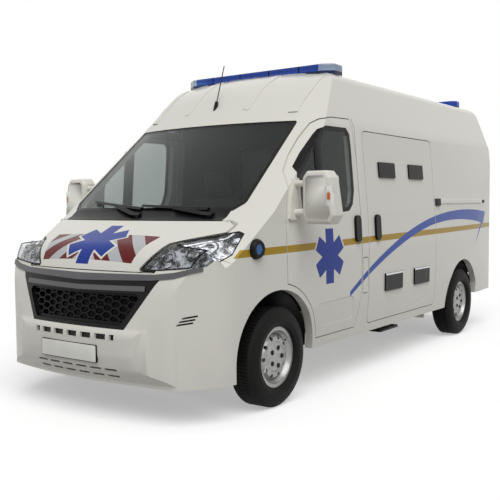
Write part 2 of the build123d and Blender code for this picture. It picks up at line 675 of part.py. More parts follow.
def rear_door():
    """Left rear door with its window opening, a rebated middle edge and hinge leaves."""
    panel = shell & rear_door_zone
    panel = panel - front_prism(REAR_WINDOW, TAIL_BACK, TAIL_INSIDE, REAR_WINDOW_RADIUS, grow=SEAT_GAP)
    panel = panel - (hull(COWL_DEPTH) & box(TAIL_BACK, TAIL_INSIDE, -20, 20, 500, ROOF_HEIGHT))
    for z in REAR_HINGES:
        panel = panel + rear_hinges(z)[0]
    return panel


# Pieces on the skin


def light_bar(front, back, half, top, joints):
    """Blue lens on the roof with slanted ends, a rounded top and grooves between its segments."""
    cut = 0.25 * (front - back)
    side = half - 1.4 * cut
    outline = [(front - cut, -half), (front, -side), (front, side), (front - cut, half),
               (back + cut, half), (back, side), (back, -side), (back + cut, -half)]
    base = ROOF_HEIGHT - 120
    lens = plan_prism(outline, base, top, 12)
    lens = fillet(lens.faces().sort_by(Axis.Z)[-1].edges(), 16)
    core = plan_prism(outline, base, top - 5, 8, grow=-5)
    for y in joints:
        lens = lens - (box(back - 20, front + 20, y - 3, y + 3, base, top + 20) - core)
    return lens - hull(-RAISED)


def bar_mounts(spots):
    """Black pads that carry a light bar."""
    pads = []
    for x, y in spots:
        pads.append(plan_prism(rectangle(x, y, 110, 90), ROOF_HEIGHT - 150, ROOF_HEIGHT + 50, 12)
                    & layer(SEAT_GAP - RAISED, -SEAT_GAP))
    return pads


def antenna_piece():
    """Whip antenna leaning back from a short base on the roof's front slope."""
    base = rod((-600, -20, 2085), (-645, -20, 2206), 15) - proud
    return base + rod((-640, -20, 2192), (-747, -20, 2506), 4)


def beacon_piece():
    """Round blue lamp on the left wing."""
    return (Pos(fx(246), HALF_WIDTH - 45, 1090) * Rot(90, 0, 0) * Cylinder(48, 120)) & layer(-26, -SEAT_GAP)


def mirror_piece():
    """Left mirror: foot on the door, two arms and a tall head with a sunk glass."""
    foot = on_skin([(-108, 1272), (-150, 1440), (-208, 1560), (-262, 1560), (-270, 1290), (-240, 1272)], HANDLE_DEPTH, 10)
    arms = rod((-175, 985, 1316), (-215, 1130, 1330), 24) + rod((-215, 960, 1520), (-222, 1130, 1520), 22)
    outline = [(1078, 1290), (1110, 1242), (1300, 1240), (1338, 1300), (1300, 1555), (1265, 1604), (1112, 1604), (1078, 1560)]
    head = front_prism(outline, -285, -165, 22)
    head = fillet(head.faces().sort_by(Axis.X)[-1].edges(), 34)
    head = head - front_prism(outline, -300, -277, 22, grow=-14)
    return foot + (arms - hull(-6)) + head


def vents():
    """Shallow boxes on the left sliding door."""
    table = [(-1540, 310, 1590, 1720), (-2140, 310, 1590, 1720), (-1585, 340, 635, 787), (-2180, 340, 635, 787)]
    return [on_skin([(x, low), (x, high), (x - length, high), (x - length, low)], PAD_DEPTH, 12)
            for x, length, low, high in table]


# Floor, housings and cab


def floor():
    """Floor pan on rails and cross members, with jacking pads and the firewall."""
    inside = REAR_ARCH_INSIDE - SEAT_GAP
    half = [
        (-40, 552), (-500, 552), (-500, 930), (-1180, 930), (-1180, REACH), (-2990, REACH), (-2990, inside),
        (-3910, inside), (-3910, REACH), (-4398, REACH),
    ]
    pan = plan_prism(with_mirror(half), FLOOR_TOP - FLOOR_THICK, FLOOR_TOP) & cabin
    for y in (-560, 480):
        pan = pan + box(-4390, 400, y, y + 80, 395, FLOOR_TOP - FLOOR_THICK)
    for x in (-700, -1900, -2700, -4100):
        pan = pan + (box(x, x + 80, -REACH, REACH, 400, FLOOR_TOP - FLOOR_THICK) & room)
    for x in (-760, -2640):
        for y in (-520, 520):
            pan = pan + box(x - 45, x + 45, y - 40, y + 40, JACK_PAD_Z, 396)
    return pan + box(-60, -35, -552, 552, 420, BELT_Z - 2)


def bulkhead_wall():
    """Wall with a window between the cab and the load space."""
    return (box(-1285, -1255, -REACH, REACH, FLOOR_TOP, 2300) & cabin) - box(-1300, -1240, -240, 240, 1350, 1850)


def housing(axle, radius, y0):
    """Half drum over a wheel with a wall on its inner side."""
    length = 930 - y0
    ring = Pos(fx(axle), y0 + length / 2, ARCH_Z) * Rot(90, 0, 0)
    drum = ring * Cylinder(radius + HOUSING_WALL, length) - Pos(0, HOUSING_WALL, 0) * ring * Cylinder(radius, length)
    return (drum - box(axle - 900, axle + 900, -REACH, REACH, -200, ARCH_Z)) & room


def seat(y):
    """Cab seat with base, cushion, back and head rest."""
    half = 245
    base = box(-1130, -720, y - half + 30, y + half - 30, FLOOR_TOP, 760)
    cushion = fillet(box(-1180, -660, y - half, y + half, 760, 890).edges(), 35)
    back = fillet(box(-1215, -1085, y - half, y + half, 880, 1430).edges(), 40)
    rest = fillet(box(-1190, -1110, y - 130, y + 130, 1470, 1680).edges(), 30)
    whole = base + cushion + back + rest
    for post in (y - 60, y + 60):
        whole = whole + rod((-1150, post, 1400), (-1150, post, 1500), 8)
    return whole


WHEEL_TILT = math.radians(38)
wheel_plane = Plane(origin=(fx(-590), 480, 1120), z_dir=(-math.cos(WHEEL_TILT), 0, math.sin(WHEEL_TILT)))


def steering():
    """Steering wheel with three spokes on a tilted axis."""
    wheel = wheel_plane * Torus(190, 15) + wheel_plane * Pos(0, 0, -20) * Cylinder(45, 60)
    for angle in (90, 210, 330):
        wheel = wheel + wheel_plane * Rot(0, 0, angle) * Pos(110, 0, -8) * Box(160, 34, 16)
    return wheel


def dash(front_housing):
    """Dashboard across the cab with the steering column."""
    profile = [(-60, 760), (-60, 1200), (-160, 1215), (-300, 1190), (-400, 1110), (-420, 960), (-330, 760)]
    panel = side_prism(profile, -820, 820) - front_housing - flip(front_housing)
    return panel + wheel_plane * Pos(0, 0, -170 - SEAT_GAP) * Cylinder(38, 240)


# Running gear


def front_axle():
    """Cross member with lower arms, struts and the eyes of both kingpins."""
    lower = rod((0, KINGPIN_Y, 225), (0, KINGPIN_Y, 260), 36) + box(-60, 60, 500, KINGPIN_Y - 25, 228, 256)
    upper = rod((0, KINGPIN_Y, 440), (0, KINGPIN_Y, 475), 36) + box(-30, 30, 640, KINGPIN_Y - 20, 440, 475)
    strut = rod((0, 650, 440), (0, 650, 960), 34) + box(-34, 34, 590, 655, 250, 475)
    bore = rod((0, KINGPIN_Y, 150), (0, KINGPIN_Y, 560), KINGPIN_RADIUS + SPINDLE_CLEARANCE)
    axle = box(-110, 110, -540, 540, 250, 330)
    for piece in both((lower + upper + strut) - bore):
        axle = axle + piece
    for y in (-520, 520):
        axle = axle + box(-40, 40, y - 25, y + 25, 320, 395 - SEAT_GAP)
    return axle


def knuckle():
    """Steered upright on the left with its kingpin and wheel spindle."""
    pin = rod((0, KINGPIN_Y, 215), (0, KINGPIN_Y, 485), KINGPIN_RADIUS)
    upright = box(-42, 42, KINGPIN_Y - 30, KINGPIN_Y + 26, 266, 434)
    spindle = rod((0, KINGPIN_Y, TYRE_RADIUS), (0, TRACK_FRONT / 2 + 60, TYRE_RADIUS), SPINDLE_RADIUS)
    return pin + upright + spindle


def rear_axle():
    """Beam with spindles on two leaf springs and their hangers."""
    reach = TRACK_REAR / 2 + 60
    axle = rod((-WHEELBASE, -800, TYRE_RADIUS), (-WHEELBASE, 800, TYRE_RADIUS), 46)
    axle = axle + rod((-WHEELBASE, -reach, TYRE_RADIUS), (-WHEELBASE, reach, TYRE_RADIUS), SPINDLE_RADIUS)
    for y in (-520, 520):
        axle = axle + box(-WHEELBASE - 680, -WHEELBASE + 680, y - 35, y + 35, 262, 300)
        for x in (-WHEELBASE - 660, -WHEELBASE + 660):
            axle = axle + box(x - 25, x + 25, y - 35, y + 35, 262, 395)
    return axle


def exhaust_pipe():
    """Pipe, muffler and tail pipe that leaves ahead of the left rear wheel."""
    pipe = rod((-1500, 250, 310), (-2100, 250, 310), 80) + rod((-130, 250, 310), (-1500, 250, 310), 28)
    route = FilletPolyline((fx(-2095), 250, 310), (fx(-2350), 250, 310), (fx(-2560), 560, 300), (fx(-2620), 930, 295),
                           radius=90)
    tail = sweep(Plane(origin=route @ 0, z_dir=route % 0) * Circle(26), path=route)
    return pipe + tail + box(-1500, -1460, 230, 510, 310, 395)


def tyre_solid():
    """Tyre on the Y axis with rounded shoulders and a bead seat for its rim."""
    half = TYRE_WIDTH / 2
    bead = RIM_WIDTH / 2 - 13
    side = [
        (RIM_RADIUS - 12, bead, 0),
        (RIM_RADIUS + 4.4, bead, 0),
        (RIM_RADIUS + 4.4, RIM_WIDTH / 2 + 5, 0),
        (RIM_RADIUS + 65, half, 45),
        (TYRE_RADIUS - 24, half - 10, 20),
        (TYRE_RADIUS, half - 36, 12),
    ]
    corners = [(x, -y, r) for x, y, r in side] + list(reversed(side))
    return revolve(Plane.XY * form_face(corners, 0), Axis.Y)


def ring_of(outline):
    """Solid turned about the Y axis from a closed half-section."""
    return revolve(Face(Wire.make_polygon([Vector(x, y) for x, y in outline])), Axis.Y)


def rim_solid():
    """Steel wheel on the Y axis: barrel, dished disc with holes, hub and bolts; +Y is outboard."""
    half = RIM_WIDTH / 2
    bore = SPINDLE_RADIUS + SPINDLE_CLEARANCE
    outside = [
        (RIM_RADIUS - 42, half - 36), (RIM_RADIUS - 26, half - 14), (RIM_RADIUS - 20, half),
        (RIM_RADIUS + 4, half), (RIM_RADIUS + 4, half - 11), (RIM_RADIUS - 12.3, half - 12.7),
    ]
    disc = [
        (bore, -20), (76, -20), (76, DISC_OFFSET - 8), (100, DISC_OFFSET + 14), (134, DISC_OFFSET + 10),
        (RIM_RADIUS - 40, DISC_OFFSET - 24), (RIM_RADIUS - 40, DISC_OFFSET - 10), (138, DISC_OFFSET + 22),
        (98, DISC_OFFSET + 26), (70, DISC_OFFSET + 4), (50, DISC_OFFSET + 4), (50, DISC_OFFSET + 24),
        (bore, DISC_OFFSET + 24),
    ]
    solid = ring_of(outside + [(x, -y) for x, y in reversed(outside)]) + ring_of(disc)
    for i in range(DISC_HOLES):
        turn = Rot(0, 360 * i / DISC_HOLES, 0)
        solid = solid - turn * Pos(133, DISC_OFFSET, 0) * Rot(90, 0, 0) * Cylinder(15, 120)
    for i in range(BOLT_COUNT):
        turn = Rot(0, 360 * i / BOLT_COUNT, 0)
        solid = solid + turn * Pos(BOLT_CIRCLE / 2, DISC_OFFSET + 10, 0) * Rot(90, 0, 0) * Cylinder(10, 24)
    return solid


# The nodes

front_housing = housing(0, ARCH_RADIUS, ARCH_INSIDE) - box(-100, 100, ARCH_INSIDE, 700, 0, ROOF_HEIGHT)
rear_housing = housing(-WHEELBASE, REAR_ARCH_RADIUS, REAR_ARCH_INSIDE)
rear_housing = rear_housing - box(-WHEELBASE - 70, -WHEELBASE + 70, 600, 720, 0, 410)
right_flank = flank()
left_flank, fuel_flap = fuel_side(right_flank)
FRONT_BAR_Y = 520.0
REAR_BAR_Y = 470.0
mount_spots = [(x, side * y) for x, y in ((-1255, FRONT_BAR_Y), (-4105, REAR_BAR_Y)) for side in (-1, 1)]

save("floor_pan", floor())
save("wheel_housings", *both(front_housing), *both(rear_housing))
save("bulkhead", bulkhead_wall())
save("cab_frame", cab_frame())
save("cowl", cowl_panel())
save("wipers", wiper((40, 1308), (-260, 1378), (20, 1356), (-560, 1404)),
     wiper((640, 1316), (320, 1362), (590, 1352), (10, 1376)))
save("roof_panel", roof())
save("front_fenders", *both(fenders()))
save("front_bumper", front_bumper())
save("rear_bumper", rear_bumper())
save("grille", grille_panel())
save("grille_bars", chrome_bar([(0, 836, 868), (560, 846, 878)]),
     chrome_bar([(0, 896, 942), (600, 914, 950), (740, 930, 966), (885, 972, 1000)]))
save("headlamp_lenses", *both(largest(glass_layer & lamp_zone)))
save("headlamp_bowls", *both(lamp_bowl()))
save("tail_lamps", *both(shell & front_prism(TAIL_LAMP, TAIL_BACK, TAIL_INSIDE - 100)))
save("windscreen", glass_layer & screen_zone)
save("bonnet", bonnet_panel())
save("fuel_flap", fuel_flap)
save("side_vents", *[solid for piece in vents() for solid in both(piece)])
save("slide_handles", *both(on_skin(rectangle(-1452, 1180, 85, 210), HANDLE_DEPTH, 40)))
save("slide_rails", *both(on_skin(rectangle(-3440, 1383, 1201, 30), 10, 6)))
save("fender_beacons", *both(beacon_piece()))
save("light_bar_front", light_bar(-1140, -1380, 762, 2510, (-450, -150, 150, 450)))
save("light_bar_rear", light_bar(-4020, -4180, 700, 2506, (-350, 0, 350)))
save("light_bar_mounts", *bar_mounts(mount_spots))
save("antenna", antenna_piece())
save("seats", seat(480), seat(-420))
save("dashboard", dash(front_housing))
save("steering_wheel", steering())
save("engine_block", box(190, 700, -340, 340, 360, 930) + box(290, 360, -480, 480, 430, 490))
save("front_axle", front_axle())
save("rear_axle", rear_axle())
save("fuel_tank", fillet(box(-2500, -1500, -470, -60, 290, 400).edges(), 30))
save("exhaust", exhaust_pipe())
save("body_side_left", left_flank)
save("body_side_right", flip(right_flank))

left_pieces = {
    "sliding_door": sliding_door(),
    "front_door": front_door(),
    "door_glass": glass_layer & side_prism(DOOR_WINDOW, DOOR_INSIDE - 100, REACH, DOOR_WINDOW_RADIUS),
    "door_handle": on_skin(rectangle(-1102, 1180, 85, 210), HANDLE_DEPTH, 40),
    "mirror": mirror_piece(),
    "rear_door": rear_door(),
    "rear_glass": glass_layer & front_prism(REAR_WINDOW, TAIL_BACK, TAIL_INSIDE, REAR_WINDOW_RADIUS),
    "knuckle": knuckle(),
}
rim, tyre = rim_solid(), tyre_solid()
for axle, x, track in (("front", 0.0, TRACK_FRONT), ("rear", -WHEELBASE, TRACK_REAR)):
    spot = Pos(fx(x), track / 2, TYRE_RADIUS)
    left_pieces[f"wheel_{axle}"] = spot * rim
    left_pieces[f"tyre_{axle}"] = spot * tyre
for name, piece in left_pieces.items():
    save(f"{name}_left", piece)
    save(f"{name}_right", flip(piece))
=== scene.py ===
"""High-roof ambulance: finishes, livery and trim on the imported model, staged in the photograph's view."""

import json
import logging
import math
from dataclasses import dataclass, field
from enum import Enum
from typing import Callable, Iterator, Optional, Sequence, Union

import bmesh
import bpy
from mathutils import Matrix, Vector
from mathutils.bvhtree import BVHTree

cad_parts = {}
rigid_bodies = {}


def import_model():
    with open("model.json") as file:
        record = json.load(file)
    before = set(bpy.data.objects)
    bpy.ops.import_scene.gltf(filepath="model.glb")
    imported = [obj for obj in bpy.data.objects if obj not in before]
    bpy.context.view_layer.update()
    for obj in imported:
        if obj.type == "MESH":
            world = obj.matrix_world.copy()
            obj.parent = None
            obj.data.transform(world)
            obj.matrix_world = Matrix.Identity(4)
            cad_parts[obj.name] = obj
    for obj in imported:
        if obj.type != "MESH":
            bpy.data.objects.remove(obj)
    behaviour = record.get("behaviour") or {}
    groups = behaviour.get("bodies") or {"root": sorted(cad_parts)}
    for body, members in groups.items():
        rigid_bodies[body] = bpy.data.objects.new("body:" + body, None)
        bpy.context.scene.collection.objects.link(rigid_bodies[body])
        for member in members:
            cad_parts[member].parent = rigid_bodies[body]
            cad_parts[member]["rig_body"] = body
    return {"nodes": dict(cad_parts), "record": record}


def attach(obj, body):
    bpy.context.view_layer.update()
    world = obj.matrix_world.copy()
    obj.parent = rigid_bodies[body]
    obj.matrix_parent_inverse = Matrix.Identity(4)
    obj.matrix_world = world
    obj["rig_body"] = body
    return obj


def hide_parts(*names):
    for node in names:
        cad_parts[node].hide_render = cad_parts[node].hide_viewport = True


logging.basicConfig(level=logging.INFO, format="%(message)s")
log = logging.getLogger("ambulance")

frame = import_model()

Colour = tuple[float, float, float]
Point = tuple[float, float, float]
Pair = tuple[float, float]

# Lengths are in metres throughout.
FRONT_AXLE_X = 1.7705
WHEELBASE = 3.45
TYRE_RADIUS = 0.341
AXLES = (("front", 0.0, 0.905), ("rear", -WHEELBASE, 0.895))  # name, place ahead of the front axle, half track
SIDES = (("left", 1), ("right", -1))

ORIGIN: Point = (0.0, 0.0, 0.0)
FORWARD: Point = (1.0, 0.0, 0.0)
BACKWARD: Point = (-1.0, 0.0, 0.0)
LEFTWARD: Point = (0.0, 1.0, 0.0)
UPWARD: Point = (0.0, 0.0, 1.0)
OUTSIDE_X = 4.0  # rays that look for a panel start this far out
OUTSIDE_Y = 2.0

MERGE_DISTANCE = 1e-5
SEAM_DISTANCE = 1e-6


def ahead(distance: float) -> float:
    """X in the frame of a point this far in front of the front axle."""
    return FRONT_AXLE_X + distance


def outward(side: int, rise: float = 0.0) -> Point:
    """Direction away from the middle plane on one side, with some rise."""
    return 0.0, float(side), rise


# Shader wiring


def math_operator(operation: str, swapped: bool = False) -> Callable[..., "Sock"]:
    """An operator method that adds a Math node.

    Args:
        operation: The node's operation.
        swapped: Whether the other value comes first.

    Returns:
        The method.
    """
    def apply(self: "Sock", other: "Value" = 0.0) -> "Sock":
        """The node on this socket and another value."""
        values = (other, self) if swapped else (self, other)
        return self.kit.add("ShaderNodeMath", {"operation": operation}, dict(enumerate(values)))

    return apply


@dataclass(eq=False)
class Sock:
    """An output socket that takes part in Python arithmetic by adding Math nodes.

    A comparison is 1 where it holds, and | and & are the larger and the smaller of two masks.
    """

    kit: "NodeKit"
    socket: bpy.types.NodeSocket

    __add__ = __radd__ = math_operator("ADD")
    __sub__ = math_operator("SUBTRACT")
    __rsub__ = math_operator("SUBTRACT", swapped=True)
    __mul__ = __rmul__ = math_operator("MULTIPLY")
    __truediv__ = math_operator("DIVIDE")
    __mod__ = math_operator("FLOORED_MODULO")
    __gt__ = math_operator("GREATER_THAN")
    __lt__ = math_operator("LESS_THAN")
    __abs__ = math_operator("ABSOLUTE")
    __or__ = math_operator("MAXIMUM")
    __and__ = math_operator("MINIMUM")


Value = Union[Sock, float]
Setting = Union[str, int, float, bool]
Inputs = dict[Union[int, str], object]

# Places of a Mix node's sockets when it blends colours.
MIX_FACTOR, MIX_FIRST, MIX_SECOND, MIX_RESULT = 0, 6, 7, 2


@dataclass(eq=False)
class NodeKit:
    """Makes the nodes of one node tree."""

    tree: bpy.types.NodeTree

    def __post_init__(self) -> None:
        """Start from an empty tree."""
        self.tree.nodes.clear()

    @classmethod
    def material(cls, name: str) -> tuple["NodeKit", bpy.types.Material]:
        made = bpy.data.materials.new(name)
        made.use_nodes = True
        return cls(made.node_tree), made

    def make(self, kind: str, settings: dict[str, Setting], inputs: Inputs) -> bpy.types.Node:
        """Add a node.

        Args:
            kind: The node's type.
            settings: Attributes, set first.
            inputs: Values or links by socket name or place.

        Returns:
            The node.
        """
        node = self.tree.nodes.new(kind)
        for key, value in settings.items():
            setattr(node, key, value)
        for key, value in inputs.items():
            socket = node.inputs[key]
            if isinstance(value, Sock):
                self.tree.links.new(value.socket, socket)
            elif isinstance(value, tuple) and socket.type == "RGBA" and len(value) == 3:
                socket.default_value = (*value, 1.0)
            else:
                socket.default_value = value
        return node

    def add(self, kind: str, settings: dict[str, Setting], inputs: Inputs, output: Union[int, str] = 0) -> Sock:
        """Add a node as make does, and take one of its outputs."""
        return Sock(self, self.make(kind, settings, inputs).outputs[output])

    def place(self) -> Sock:
        """Object coordinates."""
        return self.add("ShaderNodeTexCoord", {}, {}, "Object")

    def split(self, vector: Sock) -> tuple[Sock, Sock, Sock]:
        """X, Y and Z of a vector."""
        node = self.make("ShaderNodeSeparateXYZ", {}, {0: vector})
        return Sock(self, node.outputs[0]), Sock(self, node.outputs[1]), Sock(self, node.outputs[2])

    def axes(self) -> tuple[Sock, Sock, Sock]:
        """X, Y and Z of the object coordinates."""
        return self.split(self.place())

    def facing(self) -> tuple[Sock, Sock, Sock]:
        """X, Y and Z of the surface's true normal."""
        return self.split(self.add("ShaderNodeNewGeometry", {}, {}, "True Normal"))

    def noise(self, scale: float, detail: float) -> Sock:
        """Noise on object coordinates."""
        return self.add("ShaderNodeTexNoise", {}, {"Vector": self.place(), "Scale": scale, "Detail": detail})

    def mix(self, factor: Value, first: object, second: object) -> Sock:
        """Blend of two colours."""
        inputs = {MIX_FACTOR: factor, MIX_FIRST: first, MIX_SECOND: second}
        return self.add("ShaderNodeMix", {"data_type": "RGBA"}, inputs, MIX_RESULT)

    def bump(self, height: Sock, strength: float, distance: float) -> Sock:
        """Bump that feeds a Normal socket."""
        return self.add("ShaderNodeBump", {}, {"Strength": strength, "Distance": distance, "Height": height})

    def finish(self, sockets: dict[str, object]) -> None:
        """Close the tree with one principled shader, given the values and links of its inputs."""
        shader = self.add("ShaderNodeBsdfPrincipled", {}, sockets)
        self.make("ShaderNodeOutputMaterial", {}, {"Surface": shader})


def cubic(t: Sock, terms: Sequence[float]) -> Sock:
    """Cubic of a value, its four terms given from the highest power down."""
    third, second, first, constant = terms
    return ((t * third + second) * t + first) * t + constant


def scaled(colour: Colour, share: float) -> Colour:
    """A colour made darker or lighter."""
    return colour[0] * share, colour[1] * share, colour[2] * share


# Markings


WHITE: Colour = (0.785, 0.770, 0.705)
BLUE: Colour = (0.002, 0.032, 0.30)
SWEEP_BLUE: Colour = (0.012, 0.070, 0.40)
GOLD: Colour = (0.42, 0.26, 0.004)
RED: Colour = (0.13, 0.002, 0.002)
SILVER: Colour = (0.50, 0.51, 0.52)
BLACK: Colour = (0.003, 0.003, 0.003)


@dataclass(frozen=True)
class Star:
    """Six-armed cross, by half the length of an arm pair and half the width of an arm."""

    reach: float
    arm: float
    turns: tuple[float, float, float] = (90.0, 30.0, -30.0)

    def mask(self, u: Sock, v: Sock) -> Sock:
        """Mask of the cross about the origin of two coordinates, v along the upright arms."""
        bars = []
        for turn in self.turns:
            c, s = math.cos(math.radians(turn)), math.sin(math.radians(turn))
            bars.append((abs(u * c + v * s) < self.reach) & (abs(u * s - v * c) < self.arm))
        return bars[0] | bars[1] | bars[2]


@dataclass(frozen=True)
class FlankMarks:
    """Gold stripe, blue cross and blue sweep on both flanks.

    The stripe's tip and the cross are placed by (distance ahead of the front axle, height), the sweep's point
    and the foot of its tail by (distance behind the axle, height). A slant is run over rise.
    """

    outer: float = 0.45
    stripe_z: float = 1.0705
    stripe_rise: float = -0.0113
    stripe_half: float = 0.025
    tip: Pair = (0.4305, 1.0605)
    tip_slant: float = 1.34
    star: Star = Star(0.205, 0.058)
    star_gap: Star = Star(0.221, 0.071)
    star_at: Pair = (-0.665, 0.99)
    upper: Sequence[float] = (0.0079, -0.1581, 0.8188, 0.0341)
    lower: Sequence[float] = (0.0026, -0.1185, 0.6901, 0.1236)
    droop: float = 0.022
    droop_end: float = 2.6
    front: float = 0.98
    point: Pair = (4.199, 1.265)
    point_slant: float = 0.6
    tail: Pair = (3.82, 0.922)
    tail_slant: float = 1.02
    tail_height: float = 0.235
    tail_half: float = 0.034

    def sweep(self, x: Sock, z: Sock) -> Sock:
        """Mask of the sweep that climbs to a point at the rear, with a thin tail that drops from it."""
        back = ahead(0.0) - x
        end, end_z = self.point
        foot, foot_z = self.tail
        lower = cubic(back, self.lower) - ((self.droop_end - back) * self.droop | 0.0)
        band = (z < cubic(back, self.upper)) & (z > lower) & (back > self.front)
        band = band & (back < (z - end_z) * self.point_slant + end)
        along = (z - foot_z) / self.tail_height
        across = abs(back - ((z - foot_z) * self.tail_slant + foot))
        return band | (across < along * self.tail_half) & (along > 0.0) & (along < 1.0)

    def colour(self, kit: NodeKit, base: Sock) -> Sock:
        """Colour of a marked flank, from that of the plain paint."""
        x, y, z = kit.axes()
        _, ny, _ = kit.facing()
        side = ny * y > self.outer
        centre = (x - ahead(0.0)) * self.stripe_rise + self.stripe_z
        tip = ahead(self.tip[0]) - (z - self.tip[1]) * self.tip_slant
        u, v = x - ahead(self.star_at[0]), z - self.star_at[1]
        stripe = (abs(z - centre) < self.stripe_half) & (x < tip) & (1 - self.star_gap.mask(u, v))
        colour = kit.mix(stripe & side, base, GOLD)
        colour = kit.mix(self.sweep(x, z) & side, colour, SWEEP_BLUE)
        return kit.mix(self.star.mask(u, v) & side, colour, BLUE)


@dataclass(frozen=True)
class BonnetMarks:
    """Slanting red and silver stripes and the blue cross on the bonnet, a little off its middle.

    Heights on the panel count up its slope from a foot given by (distance ahead of the front axle, height).
    """

    upward: float = 0.1
    shift: float = 0.03
    foot: Pair = (0.815, 0.993)
    slope: Pair = (0.742, 0.777)
    panel_start: float = 0.033
    panel_height: float = 0.282
    panel_half: float = 0.43
    panel_flare: float = 0.24
    stripe_period: float = 0.25
    stripe_slant: float = 0.90
    silver_share: float = 0.45
    star: Star = Star(0.221, 0.060)
    star_edge: Star = Star(0.238, 0.074)
    star_height: float = 0.221

    def colour(self, kit: NodeKit, base: Sock) -> Sock:
        """Colour of the marked bonnet, from that of the plain paint."""
        x, across, z = kit.axes()
        y = across + self.shift
        _, _, nz = kit.facing()
        top = nz > self.upward
        climb = (ahead(self.foot[0]) - x) * self.slope[0] + (z - self.foot[1]) * self.slope[1]
        rise = climb - self.panel_start
        panel = (rise > 0.0) & (rise < self.panel_height) & top
        panel = panel & (abs(y) < rise * self.panel_flare + self.panel_half)
        red = ((abs(y) + rise * self.stripe_slant) / self.stripe_period) % 1.0 > self.silver_share
        v = climb - self.star_height
        colour = kit.mix(panel, base, kit.mix(red, SILVER, RED))
        colour = kit.mix(self.star_edge.mask(y, v) & top, colour, WHITE)
        return kit.mix(self.star.mask(y, v) & top, colour, BLUE)


@dataclass(frozen=True)
class BumperMarks:
    """Black round the grille and in the air slots of the bumper.

    A slot is given by half its length and half its height, a louvre by its middle, height and length.
    """

    surround_z: Pair = (0.603, 0.905)
    surround_crown: float = 0.03
    surround_half: float = 0.431
    surround_foot: float = 0.600
    surround_flare: float = 0.682
    middle_slot: Pair = (0.0465, 0.0185)
    middle_z: float = 0.550
    middle_pitch: float = 0.128
    middle_reach: float = 0.31
    end_slot_y: float = 0.352
    end_slot_half: float = 0.020
    lower_slot: Pair = (0.050, 0.0055)
    lower_z: Pair = (0.296, 0.341)
    lower_pitch: float = 0.130
    lower_reach: float = 0.38
    louvres: Sequence[Point] = ((0.832, 0.693, 0.062), (0.821, 0.672, 0.066), (0.811, 0.652, 0.070))
    louvre_half: float = 0.0052
    louvre_rise: float = 0.012

    def colour(self, kit: NodeKit, base: Sock) -> Sock:
        """Colour of the marked bumper, from that of the plain paint."""
        _, y, z = kit.axes()
        out = abs(y)
        bottom, top = self.surround_z
        dark = (z > bottom) & (z < out * self.surround_crown + top)
        dark = dark & (out < (z - self.surround_foot) * self.surround_flare + self.surround_half)
        half, half_height = self.middle_slot
        cell = (y + self.middle_pitch / 2) % self.middle_pitch - self.middle_pitch / 2
        row = (abs(cell) < half) & (out < self.middle_reach) | (abs(out - self.end_slot_y) < self.end_slot_half)
        dark = dark | row & (abs(z - self.middle_z) < half_height)
        half, half_height = self.lower_slot
        row = (abs(y % self.lower_pitch - self.lower_pitch / 2) < half) & (out < self.lower_reach)
        for height in self.lower_z:
            dark = dark | row & (abs(z - height) < half_height)
        for middle, height, length in self.louvres:
            along = out - middle
            slit = abs(z - height - along * (self.louvre_rise / length)) < self.louvre_half
            dark = dark | slit & (abs(along) < length / 2)
        return kit.mix(dark, base, BLACK)


class Livery(Enum):
    """Which markings a painted panel carries."""

    NONE = None
    FLANK = FlankMarks()
    BONNET = BonnetMarks()
    BUMPER = BumperMarks()


# Finishes


@dataclass(frozen=True)
class PaintFinish:
    """Gloss white paint with its markings, a trace of road dust low down and painted shade on the surfaces that
    face down under the roof.
    """

    name: str
    livery: Livery = Livery.NONE
    roughness: float = 0.24
    dust: Colour = (0.55, 0.53, 0.49)
    dust_top: float = 0.75
    dust_full: float = 0.2
    dust_most: float = 0.5
    dust_roughness: float = 0.4
    # Painted shade under the roof: its colour, the height above which it starts and how far down a face must
    # point.
    painted_underside_shade: Colour = (0.05, 0.05, 0.048)
    painted_shade_z: float = 1.75
    painted_shade_tilt: float = -0.25

    def build(self) -> bpy.types.Material:
        """Make the material."""
        kit, made = NodeKit.material(self.name)
        _, _, z = kit.axes()
        _, _, nz = kit.facing()
        low = kit.add("ShaderNodeMapRange", {}, {
            "Value": z, "From Min": self.dust_top, "From Max": self.dust_full, "To Max": self.dust_most})
        grime = low * kit.noise(scale=3.0, detail=6.0)
        base = kit.mix(grime, WHITE, self.dust)
        # Painted shade: paint high up that faces downward, under the roof, gets a near-black colour for the
        # shade there.
        base = kit.mix((nz < self.painted_shade_tilt) & (z > self.painted_shade_z), base, self.painted_underside_shade)
        if self.livery is not Livery.NONE:
            base = self.livery.value.colour(kit, base)
        kit.finish({
            "Base Color": base, "Roughness": grime * self.dust_roughness + self.roughness,
            "Specular IOR Level": 0.10, "Coat Weight": 0.20, "Coat Roughness": 0.05,
            "Normal": kit.bump(kit.noise(scale=420.0, detail=2.0), strength=0.02, distance=0.001),
        })
        return made


@dataclass(frozen=True)
class PlasticFinish:
    """Moulded plastic with a fine grain."""

    name: str
    colour: Colour
    roughness: float = 0.45
    grain: float = 0.15
    cloud_roughness: float = 0.14
    pale_share: float = 1.3
    pale_lift: float = 0.003

    def build(self) -> bpy.types.Material:
        """Make the material."""
        kit, made = NodeKit.material(self.name)
        cells = kit.add("ShaderNodeTexVoronoi", {}, {"Vector": kit.place(), "Scale": 700.0})
        cloud = kit.noise(scale=9.0, detail=4.0)
        pale = tuple(min(1.0, c + self.pale_lift) for c in scaled(self.colour, self.pale_share))
        kit.finish({
            "Base Color": kit.mix(cloud, self.colour, pale), "Specular IOR Level": 0.12,
            "Roughness": cloud * self.cloud_roughness + (self.roughness - self.cloud_roughness / 2),
            "Normal": kit.bump(cells, self.grain, distance=0.0006),
        })
        return made


